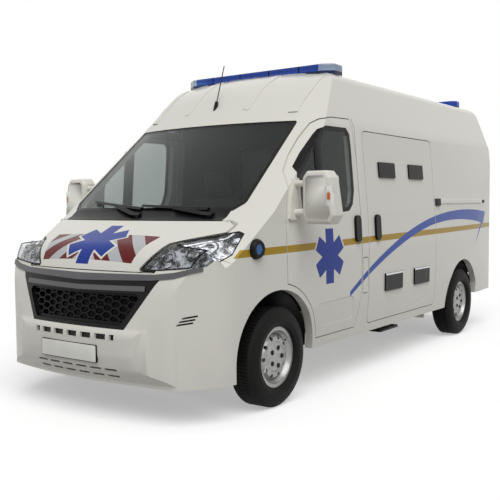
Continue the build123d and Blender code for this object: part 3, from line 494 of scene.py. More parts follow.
@dataclass(frozen=True)
class GlassFinish:
    """Glass pane or lens, with ends, seams and a foot of other colours where it has them."""

    name: str
    colour: Colour
    roughness: float = 0.02
    transmission: float = 1.0
    bend: float = 1.45
    end_colour: Optional[Colour] = None
    end_y: float = 0.0
    seams: Sequence[float] = ()
    seam_half: float = 0.007
    base_z: float = 0.0
    base_colour: Colour = (0.003, 0.012, 0.06)
    film_share: float = 0.3
    film_shade: float = 0.85
    film_roughness: float = 0.03

    def build(self) -> bpy.types.Material:
        """Make the material."""
        kit, made = NodeKit.material(self.name)
        film = kit.noise(scale=2.2, detail=5.0)
        _, y, z = kit.axes()
        shade = kit.mix(film * self.film_share, self.colour, scaled(self.colour, self.film_shade))
        if self.end_colour is not None:
            shade = kit.mix(abs(y) > self.end_y, shade, self.end_colour)
        for seam in self.seams:
            shade = kit.mix(abs(abs(y) - seam) < self.seam_half, shade, self.base_colour)
        if self.base_z > 0.0:
            shade = kit.mix(z < self.base_z, shade, self.base_colour)
        kit.finish({
            "Base Color": shade, "Roughness": film * self.film_roughness + self.roughness,
            "Transmission Weight": self.transmission, "IOR": self.bend,
        })
        return made


@dataclass(frozen=True)
class MetalFinish:
    """Metal with mottling between its colour and a darker shade of it, faint for most metals; a near-black
    shade, as in the headlamp bowls, gives dark blotches that are painted reflections.
    """

    name: str
    colour: Colour
    roughness: float = 0.3
    metallic: float = 1.0
    mottle: float = 60.0
    shade: float = 0.8
    mottle_roughness: float = 0.12
    roughness_drop: float = 0.05

    def build(self) -> bpy.types.Material:
        """Make the material."""
        kit, made = NodeKit.material(self.name)
        cloud = kit.noise(self.mottle, detail=4.0)
        blend = kit.add("ShaderNodeMapRange", {"interpolation_type": "SMOOTHSTEP"}, {
            "Value": cloud, "From Min": 0.38, "From Max": 0.62})
        kit.finish({
            # With a near-black shade this blend paints dark reflections as blotches.
            "Base Color": kit.mix(blend, scaled(self.colour, self.shade), self.colour),
            "Metallic": self.metallic,
            "Roughness": cloud * self.mottle_roughness + (self.roughness - self.roughness_drop),
            "Normal": kit.bump(cloud, strength=0.03, distance=0.0008),
        })
        return made


@dataclass(frozen=True)
class RubberFinish:
    """Tyre rubber with a film of dust."""

    name: str
    colour: Colour = (0.005, 0.005, 0.005)
    dust: Colour = (0.016, 0.015, 0.014)
    roughness: float = 0.5
    dust_roughness: float = 0.2

    def build(self) -> bpy.types.Material:
        """Make the material."""
        kit, made = NodeKit.material(self.name)
        film = kit.noise(scale=14.0, detail=5.0)
        kit.finish({
            "Base Color": kit.mix(film, self.colour, self.dust),
            "Roughness": film * self.dust_roughness + self.roughness, "Specular IOR Level": 0.10,
            "Normal": kit.bump(kit.noise(scale=350.0, detail=2.0), strength=0.15, distance=0.0008),
        })
        return made


@dataclass(frozen=True)
class FabricFinish:
    """Woven seat cloth."""

    name: str
    colour: Colour
    thread_share: float = 1.7

    def build(self) -> bpy.types.Material:
        """Make the material."""
        kit, made = NodeKit.material(self.name)
        warp, weft = (
            kit.add("ShaderNodeTexWave", {"bands_direction": way}, {"Vector": kit.place(), "Scale": scale})
            for way, scale in (("Y", 180.0), ("DIAGONAL", 150.0)))
        weave = warp * weft
        kit.finish({
            "Base Color": kit.mix(weave, self.colour, scaled(self.colour, self.thread_share)),
            "Roughness": 0.9, "Normal": kit.bump(weave, strength=0.4, distance=0.001),
        })
        return made


Finish = Union[PaintFinish, PlasticFinish, GlassFinish, MetalFinish, RubberFinish, FabricFinish]

LAMP_BLUE: Colour = (0.010, 0.075, 0.50)
LAMP_BEND = 1.35

SLOT_FINISHES: dict[str, Finish] = {
    "white_paint": PaintFinish("white_paint_finish", Livery.FLANK),
    "white_plastic": PaintFinish("white_plastic_finish"),
    "tinted_glass": GlassFinish("tinted_glass_finish", (0.50, 0.54, 0.53), bend=1.22),
    "clear_lens": GlassFinish("clear_lens_finish", (0.84, 0.85, 0.87), bend=1.32),
    "blue_lens": GlassFinish("blue_lens_finish", LAMP_BLUE, 0.10, 0.45, LAMP_BEND),
    "red_lens": GlassFinish("red_lens_finish", (0.50, 0.012, 0.012), 0.12, 0.4),
    "bright_chrome": MetalFinish("bright_chrome_finish", (0.66, 0.67, 0.69), 0.10),
    "black_trim": PlasticFinish("black_trim_finish", (0.004, 0.004, 0.0045), 0.32),
    "tyre_rubber": RubberFinish("tyre_rubber_finish"),
    "wheel_silver": MetalFinish("wheel_silver_finish", (0.40, 0.40, 0.39), 0.36, 0.7),
    "chassis_black": MetalFinish("chassis_black_finish", (0.02, 0.02, 0.021), 0.55, 0.4, mottle=25.0),
    "bare_steel": MetalFinish("bare_steel_finish", (0.30, 0.29, 0.27), 0.42),
    "seat_fabric": FabricFinish("seat_fabric_finish", (0.035, 0.04, 0.05)),
    "grey_plastic": PlasticFinish("grey_plastic_finish", (0.04, 0.04, 0.043), 0.6, 0.3),
}
NODE_FINISHES: dict[str, Finish] = {
    "bonnet": PaintFinish("bonnet_paint_finish", Livery.BONNET),
    "front_bumper": PaintFinish("bumper_paint_finish", Livery.BUMPER),
    # Painted reflection: the bars' chrome is darkened in its colour to stand for dark surroundings mirrored in
    # it.
    "grille_bars": MetalFinish("painted_reflection_chrome_finish", (0.115, 0.115, 0.12), 0.09, shade=0.93),
    "bulkhead": PlasticFinish("bulkhead_finish", (0.016, 0.016, 0.015), 0.6, 0.2),
    "fender_beacons": GlassFinish("wing_lamp_finish", (0.03, 0.20, 0.52), 0.10, 0.35, LAMP_BEND),
    # Painted reflection: blotches of near-black in the chrome bowl stand for dark surroundings mirrored in it.
    "headlamp_bowls": MetalFinish("lamp_bowl_painted_reflection_finish", (0.62, 0.63, 0.65), 0.14, mottle=19.0, shade=0.04),
    "light_bar_rear": GlassFinish(
        "rear_bar_finish", LAMP_BLUE, 0.08, 0.45, LAMP_BEND, seams=(0.0, 0.35), base_z=2.448),
    "light_bar_front": GlassFinish(
        "front_bar_finish", LAMP_BLUE, 0.08, 0.45, LAMP_BEND, end_colour=(0.55, 0.66, 0.80), end_y=0.64,
        seams=(0.15, 0.45), base_z=2.452),
}
TRIM_FINISHES: dict[str, Finish] = {
    "plate": PlasticFinish("plate_finish", (0.80, 0.79, 0.73), 0.35, 0.05),
    "amber": GlassFinish("amber_finish", (0.85, 0.22, 0.02), 0.10, 0.5),
    "mirror": MetalFinish("mirror_glass_finish", (0.80, 0.82, 0.83), 0.06),
}


def built(table: dict[str, Finish]) -> dict[str, bpy.types.Material]:
    """Materials of a table of finishes, under the same keys."""
    return {key: finish.build() for key, finish in table.items()}


@dataclass
class Finishes:
    """All materials of the object, made once and handed out by slot, by node or by the name of a trim."""

    by_slot: dict[str, bpy.types.Material] = field(default_factory=lambda: built(SLOT_FINISHES))
    by_node: dict[str, bpy.types.Material] = field(default_factory=lambda: built(NODE_FINISHES))
    by_trim: dict[str, bpy.types.Material] = field(default_factory=lambda: built(TRIM_FINISHES))

    def of(self, node: str, slot: str) -> bpy.types.Material:
        """The finish of a CAD node: its own, or that of its slot in the record."""
        return self.by_node.get(node, self.by_slot[slot])


# Shapes


def facing_frame(centre: Point, normal: Point, up: Point = UPWARD) -> Matrix:
    """Frame whose Z axis is a normal and whose Y axis is near an upward direction.

    Args:
        centre: The frame's origin.
        normal: Its Z axis.
        up: The direction that its Y axis leans to.

    Returns:
        The frame's matrix.
    """
    z = Vector(normal).normalized()
    x = Vector(up).cross(z).normalized()
    y = z.cross(x)
    turn = Matrix((x, y, z)).transposed().to_4x4()
    return Matrix.Translation(centre) @ turn


@dataclass(frozen=True)
class Slab:
    """Flat plate with round corners and a softened rim round its outer face."""

    width: float
    height: float
    thick: float
    corner: float
    rim: float

    def mesh(self, spot: Matrix) -> bmesh.types.BMesh:
        """The plate on a frame's XY plane, its width along X and its height along Y."""
        bm = bmesh.new()
        size = Matrix.Diagonal((self.width, self.height, 1.0, 1.0))
        bmesh.ops.create_grid(bm, x_segments=1, y_segments=1, size=0.5, matrix=size)
        bmesh.ops.bevel(
            bm, geom=bm.verts[:], offset=self.corner, affect="VERTICES", segments=5, profile=0.5, material=-1)
        raised = bmesh.ops.extrude_face_region(bm, geom=bm.faces[:])["geom"]
        top = [item for item in raised if isinstance(item, bmesh.types.BMVert)]
        bmesh.ops.translate(bm, verts=top, vec=(0.0, 0.0, self.thick))
        outline = [e for e in bm.edges if all(v.co.z > self.thick / 2 for v in e.verts)]
        bmesh.ops.bevel(
            bm, geom=outline, offset=self.rim, affect="EDGES", segments=3, profile=0.5, material=-1)
        bmesh.ops.transform(bm, matrix=spot, verts=bm.verts)
        return bm


@dataclass(frozen=True)
class Turning:
    """Turned shape, by its half-section as (radius, height) points in order and the segments of a full turn."""

    profile: Sequence[Pair]
    steps: int

    def mesh(self, spot: Matrix) -> bmesh.types.BMesh:
        """The shape, turned about a frame's Z axis."""
        bm = bmesh.new()
        verts = [bm.verts.new((radius, 0.0, height)) for radius, height in self.profile]
        edges = [bm.edges.new(pair) for pair in zip(verts, verts[1:])]
        bmesh.ops.spin(bm, geom=verts + edges, cent=ORIGIN, axis=UPWARD, dvec=ORIGIN, angle=2 * math.pi,
                       steps=self.steps, use_merge=True)
        bmesh.ops.remove_doubles(bm, verts=bm.verts, dist=SEAM_DISTANCE)
        bmesh.ops.transform(bm, matrix=spot, verts=bm.verts)
        return bm


def merged(*parts: bmesh.types.BMesh) -> bmesh.types.BMesh:
    """Several meshes as one; the given ones are freed."""
    whole = bmesh.new()
    for part in parts:
        holder = bpy.data.meshes.new("holder")
        part.to_mesh(holder)
        part.free()
        whole.from_mesh(holder)
        bpy.data.meshes.remove(holder)
    return whole


def touch(node: str, start: Point, direction: Point) -> Vector:
    """Where a ray first meets a CAD node, or the node's nearest point should the ray slip past it.

    Args:
        node: The node's name.
        start: The ray's start.
        direction: The way that it goes.

    Returns:
        The point.
    """
    mesh = frame["nodes"][node].data
    tree = BVHTree.FromPolygons([v.co for v in mesh.vertices], [p.vertices for p in mesh.polygons])
    hit = tree.ray_cast(Vector(start), Vector(direction))[0]
    return hit if hit is not None else tree.find_nearest(Vector(start))[0]


def flank_point(node: str, x: float, z: float, side: int) -> Vector:
    """Spot on a side panel's outer face, by its distance ahead of the front axle and its height."""
    return touch(node, (ahead(x), side * OUTSIDE_Y, z), outward(-side))


# Pieces


@dataclass
class Workshop:
    """Turns finished meshes into pieces that ride on a body."""

    finishes: Finishes

    def put(self, name: str, bm: bmesh.types.BMesh, material: bpy.types.Material, body: str, slot: str,
            crease: float = 35.0) -> bpy.types.Object:
        """Make a piece from a mesh.

        Args:
            name: The piece's name.
            bm: Its mesh, freed here.
            material: Its finish.
            body: The body that carries it.
            slot: Its material slot in the record; not used.
            crease: Edges sharper than this angle in degrees stay hard.

        Returns:
            The new object.
        """
        bmesh.ops.remove_doubles(bm, verts=bm.verts, dist=MERGE_DISTANCE)
        bmesh.ops.recalc_face_normals(bm, faces=bm.faces)
        for face in bm.faces:
            face.smooth = True
            face.material_index = 0
        for edge in bm.edges:
            edge.smooth = len(edge.link_faces) == 2 and edge.calc_face_angle(0.0) < math.radians(crease)
        mesh = bpy.data.meshes.new(name)
        bm.to_mesh(mesh)
        bm.free()
        mesh.materials.append(material)
        piece = bpy.data.objects.new(name, mesh)
        bpy.context.scene.collection.objects.link(piece)
        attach(piece, body)
        log.info("piece %s on body %s", name, body)
        return piece

    def trim(self, name: str, bm: bmesh.types.BMesh, slot: str, body: str = "body") -> bpy.types.Object:
        """Make a piece in the plain finish of its slot."""
        return self.put(name, bm, self.finishes.by_slot[slot], body, slot)


@dataclass
class PanelDresser:
    """Gives every CAD node its finish on a merged skin whose facets shade as one surface."""

    shop: Workshop
    skipped: Sequence[str] = ()
    crease: float = 28.0

    def build(self) -> None:
        """Replace all nodes but the skipped ones by merged copies."""
        slots = {s["node"]: s["material_slot"] for s in frame["record"]["subparts"]}
        for node, source in frame["nodes"].items():
            if node in self.skipped:
                continue
            bm = bmesh.new()
            bm.from_mesh(source.data)
            finish = self.shop.finishes.of(node, slots[node])
            skin = self.shop.put(
                f"{node}_skin", bm, finish, source["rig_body"], slots[node], self.crease)
            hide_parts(node)


@dataclass
class Tyre:
    """Tyre with grooved tread blocks, sidewall ribs and a rounded shoulder.

    The sidewall is a table of radius and depth inside the tyre's side plane.
    """

    shop: Workshop
    node: str
    centre: Point
    width: float = 0.211
    sidewall: Sequence[Pair] = (
        (0.2074, 0.0245), (0.2194, 0.006), (0.245, 0.001), (0.25, -0.0005), (0.258, -0.0005), (0.262, 0.001),
        (0.29, 0.003), (0.312, 0.010), (0.326, 0.020))
    tread_rows: Sequence[float] = (0.032, 0.064, 0.088)
    steps: int = 84
    groove: float = 0.0065
    groove_half: float = 0.0028
    tolerance: float = 0.001

    def profile(self) -> list[Pair]:
        """Half-section over the whole width, by radius and distance from the middle plane."""
        half, low = self.width / 2, TYRE_RADIUS - self.groove
        left = [(radius, half - depth) for radius, depth in self.sidewall]
        left += [(low, half - depth) for depth in self.tread_rows]
        return left + [(radius, -place) for radius, place in reversed(left)]

    def build(self) -> None:
        """Make the tyre in place of its CAD node."""
        bm = Turning(self.profile(), self.steps).mesh(facing_frame(self.centre, LEFTWARD))
        bmesh.ops.recalc_face_normals(bm, faces=bm.faces)
        floor = TYRE_RADIUS - self.groove - self.tolerance
        blocks = [f for f in bm.faces if all(self.radius(v.co) > floor for v in f.verts)]
        bmesh.ops.inset_individual(
            bm, faces=blocks, thickness=self.groove_half, depth=self.groove, use_even_offset=True)
        tyre = self.shop.trim(f"{self.node}_carcass", bm, "tyre_rubber", frame["nodes"][self.node]["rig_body"])
        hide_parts(self.node)

    def radius(self, point: Vector) -> float:
        """Distance of a point from the wheel's axis."""
        return math.hypot(point.x - self.centre[0], point.z - self.centre[2])


@dataclass
class WheelTrim:
    """Hub cap, wheel nuts and valve of one wheel."""

    shop: Workshop
    body: str
    centre: Point
    side: int
    face: float = 0.076
    cap: Turning = Turning(
        ((0.0, 0.003), (0.024, 0.002), (0.034, 0.0), (0.084, -0.001), (0.098, -0.004), (0.106, -0.012)), 48)
    nuts: int = 5
    nut_circle: float = 0.064
    washer: Turning = Turning(((0.0, 0.0008), (0.015, 0.0008), (0.0175, 0.002), (0.019, -0.003)), 20)
    valve: Turning = Turning(((0.0, 0.030), (0.003, 0.029), (0.004, 0.022), (0.0045, 0.0)), 12)
    valve_turn: float = 0.6
    valve_at: Point = (0.168, 0.0, 0.034)

    def build(self) -> None:
        """Make the trim on the wheel's outer face."""
        spot = facing_frame(self.centre, outward(self.side))
        cap = self.cap.mesh(spot @ Matrix.Translation((0.0, 0.0, self.face)))
        self.shop.trim(f"{self.body}_cap", cap, "wheel_silver", self.body)
        parts = []
        for i in range(self.nuts):
            turn = Matrix.Rotation(2 * math.pi * i / self.nuts, 4, "Z")
            place = spot @ turn @ Matrix.Translation((self.nut_circle, 0.0, self.face))
            parts += [self.washer.mesh(place), self.nut(place)]
        valve = spot @ Matrix.Rotation(self.valve_turn, 4, "Z") @ Matrix.Translation(self.valve_at)
        parts.append(self.valve.mesh(valve))
        self.shop.trim(f"{self.body}_nuts", merged(*parts), "chassis_black", self.body)

    @staticmethod
    def nut(spot: Matrix) -> bmesh.types.BMesh:
        """Six-sided nut with a chamfered head, its middle and axis at a frame's origin and Z."""
        bm = bmesh.new()
        bmesh.ops.create_cone(bm, cap_ends=True, segments=6, radius1=0.0105, radius2=0.0098, depth=0.016)
        head = max(bm.faces, key=lambda f: f.calc_center_median().z)
        bmesh.ops.inset_region(bm, faces=[head], thickness=0.002, depth=0.002)
        bmesh.ops.transform(bm, matrix=spot, verts=bm.verts)
        return bm


@dataclass
class Glazing:
    """Black border printed round a pane, taken from the outline of its CAD node."""

    shop: Workshop
    node: str
    outward: Point
    band: float = 0.034
    lift: float = 0.0012
    thick: float = 0.0008
    outer: float = 0.6

    def build(self) -> None:
        """Make the border on the pane's outer face."""
        source = frame["nodes"][self.node]
        bm = bmesh.new()
        bm.from_mesh(source.data)
        bmesh.ops.remove_doubles(bm, verts=bm.verts, dist=MERGE_DISTANCE)
        bmesh.ops.recalc_face_normals(bm, faces=bm.faces)
        out = Vector(self.outward).normalized()
        rest = [f for f in bm.faces if f.normal.dot(out) < self.outer]
        bmesh.ops.delete(bm, geom=rest, context="FACES")
        bmesh.ops.dissolve_faces(bm, faces=bm.faces[:], use_verts=False)
        inner = bm.faces[:]
        bmesh.ops.inset_region(bm, faces=inner, thickness=self.band, use_boundary=True, use_even_offset=True)
        bmesh.ops.delete(bm, geom=inner, context="FACES_ONLY")
        bmesh.ops.translate(bm, verts=bm.verts, vec=out * self.lift)
        bmesh.ops.solidify(bm, geom=bm.faces[:], thickness=self.thick)
        self.shop.trim(f"{self.node}_border", bm, "black_trim", source["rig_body"])


@dataclass
class DoorTrim:
    """Window divider of a cab door, and the mirror's glass and indicator."""

    shop: Workshop
    name: str
    side: int
    divider_x: float = -0.590
    divider_ends: Pair = (1.330, 1.845)
    divider_width: float = 0.116
    divider_lift: float = 0.0005
    glass: Slab = Slab(0.205, 0.310, 0.003, 0.030, 0.001)
    glass_at: Point = (-0.2765, 1.205, 1.424)
    lens: Slab = Slab(0.058, 0.135, 0.014, 0.012, 0.004)
    lens_lift: float = -0.008
    bulb: Slab = Slab(0.020, 0.050, 0.004, 0.008, 0.0015)
    bulb_lift: float = 0.0035
    lamp_at: Pair = (1.294, 1.430)
    lamp_facing: Pair = (0.85, 0.53)

    def build(self) -> None:
        """Make the pieces on the door, the divider leaning as its window does."""
        body = f"front_door_{self.name}"
        low, high = (
            flank_point(f"door_glass_{self.name}", self.divider_x, z, self.side) for z in self.divider_ends)
        middle = (low + high) / 2
        lean = self.side * (low.y - high.y) / (high.z - low.z)
        spot = facing_frame(
            (middle.x, middle.y + self.side * self.divider_lift, middle.z), outward(self.side, lean))
        bar = Slab(self.divider_width, (high - low).length, thick=0.0035, corner=0.012, rim=0.001)
        self.shop.trim(f"window_divider_{self.name}", bar.mesh(spot), "black_trim", body)
        x, y, z = self.glass_at
        glass = self.glass.mesh(facing_frame((ahead(x), self.side * y, z), BACKWARD))
        finishes = self.shop.finishes
        self.shop.put(f"mirror_glass_{self.name}", glass, finishes.by_trim["mirror"], body, "bright_chrome")
        y, z = self.lamp_at
        forward, out = self.lamp_facing
        face = touch(f"mirror_{self.name}", (OUTSIDE_X, self.side * y, z), BACKWARD)
        for kind, slab, lift, finish, slot in (
                ("lens", self.lens, self.lens_lift, finishes.by_slot["clear_lens"], "clear_lens"),
                ("bulb", self.bulb, self.bulb_lift, finishes.by_trim["amber"], "red_lens")):
            spot = facing_frame((face.x + lift, face.y, face.z), (forward, self.side * out, 0.0))
            self.shop.put(f"indicator_{kind}_{self.name}", slab.mesh(spot), finish, body, slot)


@dataclass
class Nose:
    """Blank plate, dark air box behind the grille and the lights inside the headlamps.

    The air box's edges are given by (distance ahead of the front axle, height), the rest by (Y, height).
    """

    shop: Workshop
    plate_at: Pair = (-0.030, 0.437)
    holder: Slab = Slab(0.530, 0.116, 0.0135, 0.010, 0.002)
    holder_x: float = 0.936
    face: Slab = Slab(0.520, 0.106, 0.0020, 0.008, 0.0006)
    face_x: float = 0.9490
    bow: float = 2.85
    box_edges: Sequence[Pair] = ((0.845, 0.600), (0.775, 0.845))
    box_arc: float = 0.31
    box_steps: int = 28
    box_wall: float = 0.004
    lights_at: Sequence[Pair] = ((0.640, 1.035), (0.790, 1.090))
    dome: Turning = Turning(((0.0, 0.018), (0.0153, 0.016), (0.0272, 0.010), (0.034, 0.0)), 32)
    dome_sink: float = 0.004
    dome_facing: Point = (1.0, 0.25, 0.12)

    def build(self) -> None:
        """Make the pieces."""
        self.number_plate()
        self.air_box()
        self.lights()

    def number_plate(self) -> None:
        """Bare plate with a thin dark edge."""
        y, z = self.plate_at
        holder, face = (facing_frame((ahead(x), y, z), FORWARD) for x in (self.holder_x, self.face_x))
        self.shop.trim("plate_holder", self.holder.mesh(holder), "black_trim")
        finish = self.shop.finishes.by_trim["plate"]
        self.shop.put("plate_face", self.face.mesh(face), finish, "body", "white_plastic")

    def air_box(self) -> None:
        """Curved dark wall behind the honeycomb."""
        bm = bmesh.new()
        ends = [bm.verts.new((self.bow + x, 0.0, z)) for x, z in self.box_edges]
        edge = bm.edges.new(ends)
        bmesh.ops.transform(bm, matrix=Matrix.Rotation(-self.box_arc / 2, 4, "Z"), verts=bm.verts)
        bmesh.ops.spin(bm, geom=[*ends, edge], cent=ORIGIN, axis=UPWARD, dvec=ORIGIN, angle=self.box_arc,
                       steps=self.box_steps, use_merge=False)
        bmesh.ops.solidify(bm, geom=bm.faces[:], thickness=self.box_wall)
        bmesh.ops.translate(bm, verts=bm.verts, vec=(ahead(-self.bow), 0.0, 0.0))
        self.shop.trim("grille_air_box", bm, "black_trim")

    def lights(self) -> None:
        """Projector lenses in the headlamps' bowls."""
        forward, out, rise = self.dome_facing
        for name, side in SIDES:
            for index, (y, z) in enumerate(self.lights_at):
                point = touch("headlamp_bowls", (OUTSIDE_X, side * y, z), BACKWARD)
                spot = facing_frame((point.x - self.dome_sink, side * y, z), (forward, side * out, rise))
                self.shop.trim(f"projector_{name}_{index}", self.dome.mesh(spot), "clear_lens")


@dataclass
class FlankTrim:
    """Beacon bezel, rail fittings, vent lips and side step on one flank.

    Places are given by (distance ahead of the front axle, height), or with the distance outward between them.
    """

    shop: Workshop
    name: str
    side: int
    ring: Turning = Turning(
        ((0.0495, -0.004), (0.0495, 0.0285), (0.035, 0.0285), (0.037, 0.032), (0.054, 0.032), (0.064, 0.018),
         (0.068, 0.006), (0.068, -0.006)), 40)
    beacon_at: Pair = (0.246, 1.090)
    probe_up: float = 0.062
    probe_down: float = 0.060
    probe_along: float = 0.074
    bracket: Slab = Slab(0.105, 0.070, 0.022, 0.010, 0.005)
    bracket_at: Pair = (-2.772, 1.379)
    bracket_probe: Pair = (-2.765, 1.378)
    stop: Slab = Slab(0.044, 0.030, 0.016, 0.006, 0.004)
    stop_at: Pair = (-4.100, 1.384)
    rail_sink: float = 0.002
    rail_tilt: float = 0.05
    lip: Slab = Slab(0.328, 0.022, 0.007, 0.004, 0.002)
    lips_x: Pair = (-1.755, -2.350)
    lip_z: float = 0.777
    lip_probe_z: float = 0.767
    lip_sink: float = 0.004
    lip_tilt: float = 0.6
    tread: Slab = Slab(0.36, 0.130, 0.020, 0.018, 0.005)
    tread_at: Point = (-1.82, 0.890, 0.272)
    hanger: Slab = Slab(0.030, 0.060, 0.012, 0.005, 0.002)
    hangers_at: Sequence[Point] = ((-1.70, 0.850, 0.306), (-1.94, 0.850, 0.306))

    def build(self) -> None:
        """Make the pieces."""
        self.bezel()
        self.rail_fittings()
        self.vent_lips()
        self.side_step()

    def reach(self, node: str, x: float, z: float) -> float:
        """Distance of a panel's outer face from the middle plane."""
        return abs(flank_point(node, x, z, self.side).y)

    def spot(self, x: float, y: float, z: float, tilt: float) -> Matrix:
        """Frame on the flank that faces outward, tilted up."""
        return facing_frame((ahead(x), self.side * y, z), outward(self.side, tilt))

    def bezel(self) -> None:
        """Black ring round the blue lamp on the wing."""
        x, z = self.beacon_at
        high, low, front, rear = (
            self.reach("front_fenders", x + along, z + up)
            for along, up in ((0.0, self.probe_up), (0.0, -self.probe_down),
                              (self.probe_along, 0.0), (-self.probe_along, 0.0)))
        normal = ((rear - front) / (2 * self.probe_along), float(self.side),
                  (low - high) / (self.probe_up + self.probe_down))
        spot = facing_frame((ahead(x), self.side * (high + low) / 2, z), normal)
        self.shop.trim(f"beacon_bezel_{self.name}", self.ring.mesh(spot), "black_trim")

    def rail_fittings(self) -> None:
        """Grey bracket at the rail's front end and a black stop at its rear end."""
        for kind, slab, (x, z), probe, slot in (
                ("bracket", self.bracket, self.bracket_at, self.bracket_probe, "grey_plastic"),
                ("stop", self.stop, self.stop_at, self.stop_at, "black_trim")):
            y = self.reach(f"body_side_{self.name}", *probe) - self.rail_sink
            self.shop.trim(f"rail_{kind}_{self.name}", slab.mesh(self.spot(x, y, z, self.rail_tilt)), slot)

    def vent_lips(self) -> None:
        """Bright rain lips over the lower vents."""
        parts = []
        for x in self.lips_x:
            y = self.reach("side_vents", x, self.lip_probe_z) - self.lip_sink
            parts.append(self.lip.mesh(self.spot(x, y, self.lip_z, self.lip_tilt)))
        self.shop.trim(f"vent_lips_{self.name}", merged(*parts), "bright_chrome")

    def side_step(self) -> None:
        """Black step under the sill with its two hangers."""
        x, y, z = self.tread_at
        parts = [self.tread.mesh(facing_frame((ahead(x), self.side * y, z), UPWARD, LEFTWARD))]
        for x, y, z in self.hangers_at:
            parts.append(self.hanger.mesh(facing_frame((ahead(x), self.side * y, z), FORWARD)))
        self.shop.trim(f"side_step_{self.name}", merged(*parts), "black_trim")


@dataclass
class TailTrim:
    """Handles and locks of the rear doors."""

    shop: Workshop
    handle_at: Pair = (0.085, 1.06)
    handle_sink: float = 0.002
    pull: Slab = Slab(0.060, 0.200, 0.020, 0.020, 0.006)
    lock: Turning = Turning(((0.0, 0.024), (0.010, 0.024), (0.012, 0.020), (0.012, 0.0)), 20)
    lock_at: Point = (0.0, 0.055, 0.0)

    def build(self) -> None:
        """Make the pieces."""
        y, z = self.handle_at
        for name, side in SIDES:
            body = f"rear_door_{name}"
            point = touch(body, (-OUTSIDE_X, side * y, z), FORWARD)
            spot = facing_frame((point.x + self.handle_sink, side * y, z), BACKWARD)
            lock = self.lock.mesh(spot @ Matrix.Translation(self.lock_at))
            self.shop.trim(f"rear_handle_{name}", merged(self.pull.mesh(spot), lock), "black_trim", body)


# Studio


@dataclass
class PhotoCamera:
    """Camera at the photograph's viewpoint, with angles in radians."""

    position: Point = (6.030, 3.834, 1.3923)
    yaw: float = 2.1953
    pitch: float = -0.0624
    roll: float = 0.0083
    focal_pixels: float = 761.2
    image_pixels: float = 500.0
    sensor_width: float = 36.0
    sight: float = 200.0

    def build(self) -> None:
        """Add the camera and make it the scene's."""
        data = bpy.data.cameras.new("photo_camera")
        data.sensor_width = self.sensor_width
        data.lens = self.focal_pixels / self.image_pixels * self.sensor_width
        data.clip_end = self.sight
        camera = bpy.data.objects.new("photo_camera", data)
        turn = Matrix.Rotation(self.yaw, 4, "Z") @ Matrix.Rotation(self.pitch, 4, "X")
        turn = turn @ Matrix.Rotation(self.roll, 4, "Y") @ Matrix.Rotation(math.pi / 2, 4, "X")
        camera.matrix_world = Matrix.Translation(self.position) @ turn
        bpy.context.scene.collection.objects.link(camera)
        bpy.context.scene.camera = camera


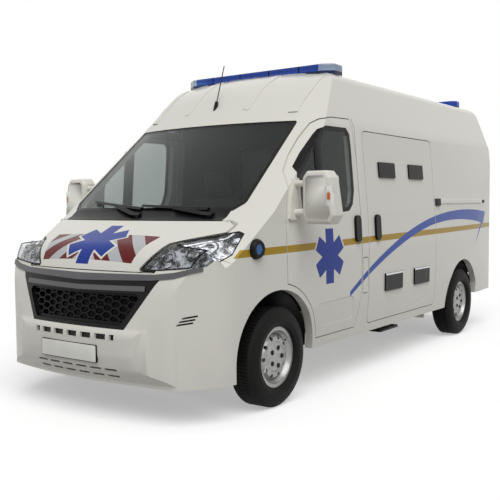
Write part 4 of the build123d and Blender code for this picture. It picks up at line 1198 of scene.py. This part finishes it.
@dataclass
class Studio:
    """White floor that keeps a soft shadow, white surroundings and one broad lamp."""

    floor_size: float = 120.0
    floor_colour: Colour = (0.80, 0.80, 0.80)
    floor_bounce: Colour = (0.40, 0.40, 0.40)
    floor_glow: float = 0.39
    ambient: float = 0.32
    lamp_aim: Point = (-0.40, -0.42, -0.82)
    lamp_power: float = 1.8
    lamp_spread: float = 55.0

    def build(self) -> None:
        """Add floor, world and lamp."""
        bpy.context.scene.view_settings.view_transform = "Standard"
        self.floor()
        self.world()
        self.lamp()

    @staticmethod
    def seen(kit: NodeKit) -> Sock:
        """Mask of the rays that see the surroundings, straight, mirrored or through glass."""
        path = kit.make("ShaderNodeLightPath", {}, {})
        camera, glossy, through = (
            Sock(kit, path.outputs[name]) for name in ("Is Camera Ray", "Is Glossy Ray", "Is Transmission Ray"))
        return camera | glossy | through

    def floor(self) -> None:
        """Flat white floor that shows the shadow."""
        bm = bmesh.new()
        bmesh.ops.create_grid(bm, x_segments=1, y_segments=1, size=self.floor_size / 2)
        mesh = bpy.data.meshes.new("studio_floor")
        bm.to_mesh(mesh)
        bm.free()
        kit, made = NodeKit.material("studio_floor_finish")
        seen = self.seen(kit)
        kit.finish({
            "Base Color": kit.mix(seen, self.floor_bounce, self.floor_colour), "Roughness": 0.9,
            "Specular IOR Level": 0.0, "Emission Strength": self.floor_glow,
            "Emission Color": kit.mix(seen, (0.0, 0.0, 0.0), (1.0, 1.0, 1.0)),
        })
        mesh.materials.append(made)
        floor = bpy.data.objects.new("studio_floor", mesh)
        bpy.context.scene.collection.objects.link(floor)

    def world(self) -> None:
        """White where it is seen, dimmer as light."""
        world = bpy.data.worlds.new("studio_world")
        world.use_nodes = True
        kit = NodeKit(world.node_tree)
        strength = self.seen(kit) * (1.0 - self.ambient) + self.ambient
        light = kit.add("ShaderNodeBackground", {}, {"Color": (1.0, 1.0, 1.0), "Strength": strength})
        kit.make("ShaderNodeOutputWorld", {}, {"Surface": light})
        bpy.context.scene.world = world

    def lamp(self) -> None:
        """One broad lamp over the near front corner, as far off as a window wall."""
        data = bpy.data.lights.new("broad_lamp", "SUN")
        data.energy = self.lamp_power
        data.angle = math.radians(self.lamp_spread)
        lamp = bpy.data.objects.new("broad_lamp", data)
        lamp.matrix_world = Vector(self.lamp_aim).to_track_quat("-Z", "Y").to_matrix().to_4x4()
        bpy.context.scene.collection.objects.link(lamp)


WINDSCREEN_FACING: Point = (0.65, 0.0, 0.76)
HEADLAMP_FACING: Point = (0.90, 0.0, 0.43)


def wheels() -> Iterator[tuple[str, Point, int]]:
    """Each wheel's suffix, such as front_left, its centre, and 1 for left or -1 for right."""
    for axle, x, half_track in AXLES:
        for name, side in SIDES:
            yield f"{axle}_{name}", (ahead(x), side * half_track, TYRE_RADIUS), side


def main() -> None:
    """Stage the view, dress the ambulance and add its trim."""
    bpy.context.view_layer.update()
    PhotoCamera().build()
    Studio().build()
    shop = Workshop(Finishes())
    PanelDresser(shop, [f"tyre_{name}" for name, _, _ in wheels()]).build()
    for name, centre, side in wheels():
        Tyre(shop, f"tyre_{name}", centre).build()
        WheelTrim(shop, f"wheel_{name}", centre, side).build()
    Glazing(shop, "windscreen", WINDSCREEN_FACING).build()
    for name, side in SIDES:
        Glazing(shop, f"door_glass_{name}", outward(side)).build()
        Glazing(shop, f"rear_glass_{name}", BACKWARD, band=0.022).build()
        DoorTrim(shop, name, side).build()
    Glazing(shop, "headlamp_lenses", HEADLAMP_FACING, band=0.011, lift=0.0015).build()
    Nose(shop).build()
    for name, side in SIDES:
        FlankTrim(shop, name, side).build()
    TailTrim(shop).build()


if __name__ == "__main__":
    main()
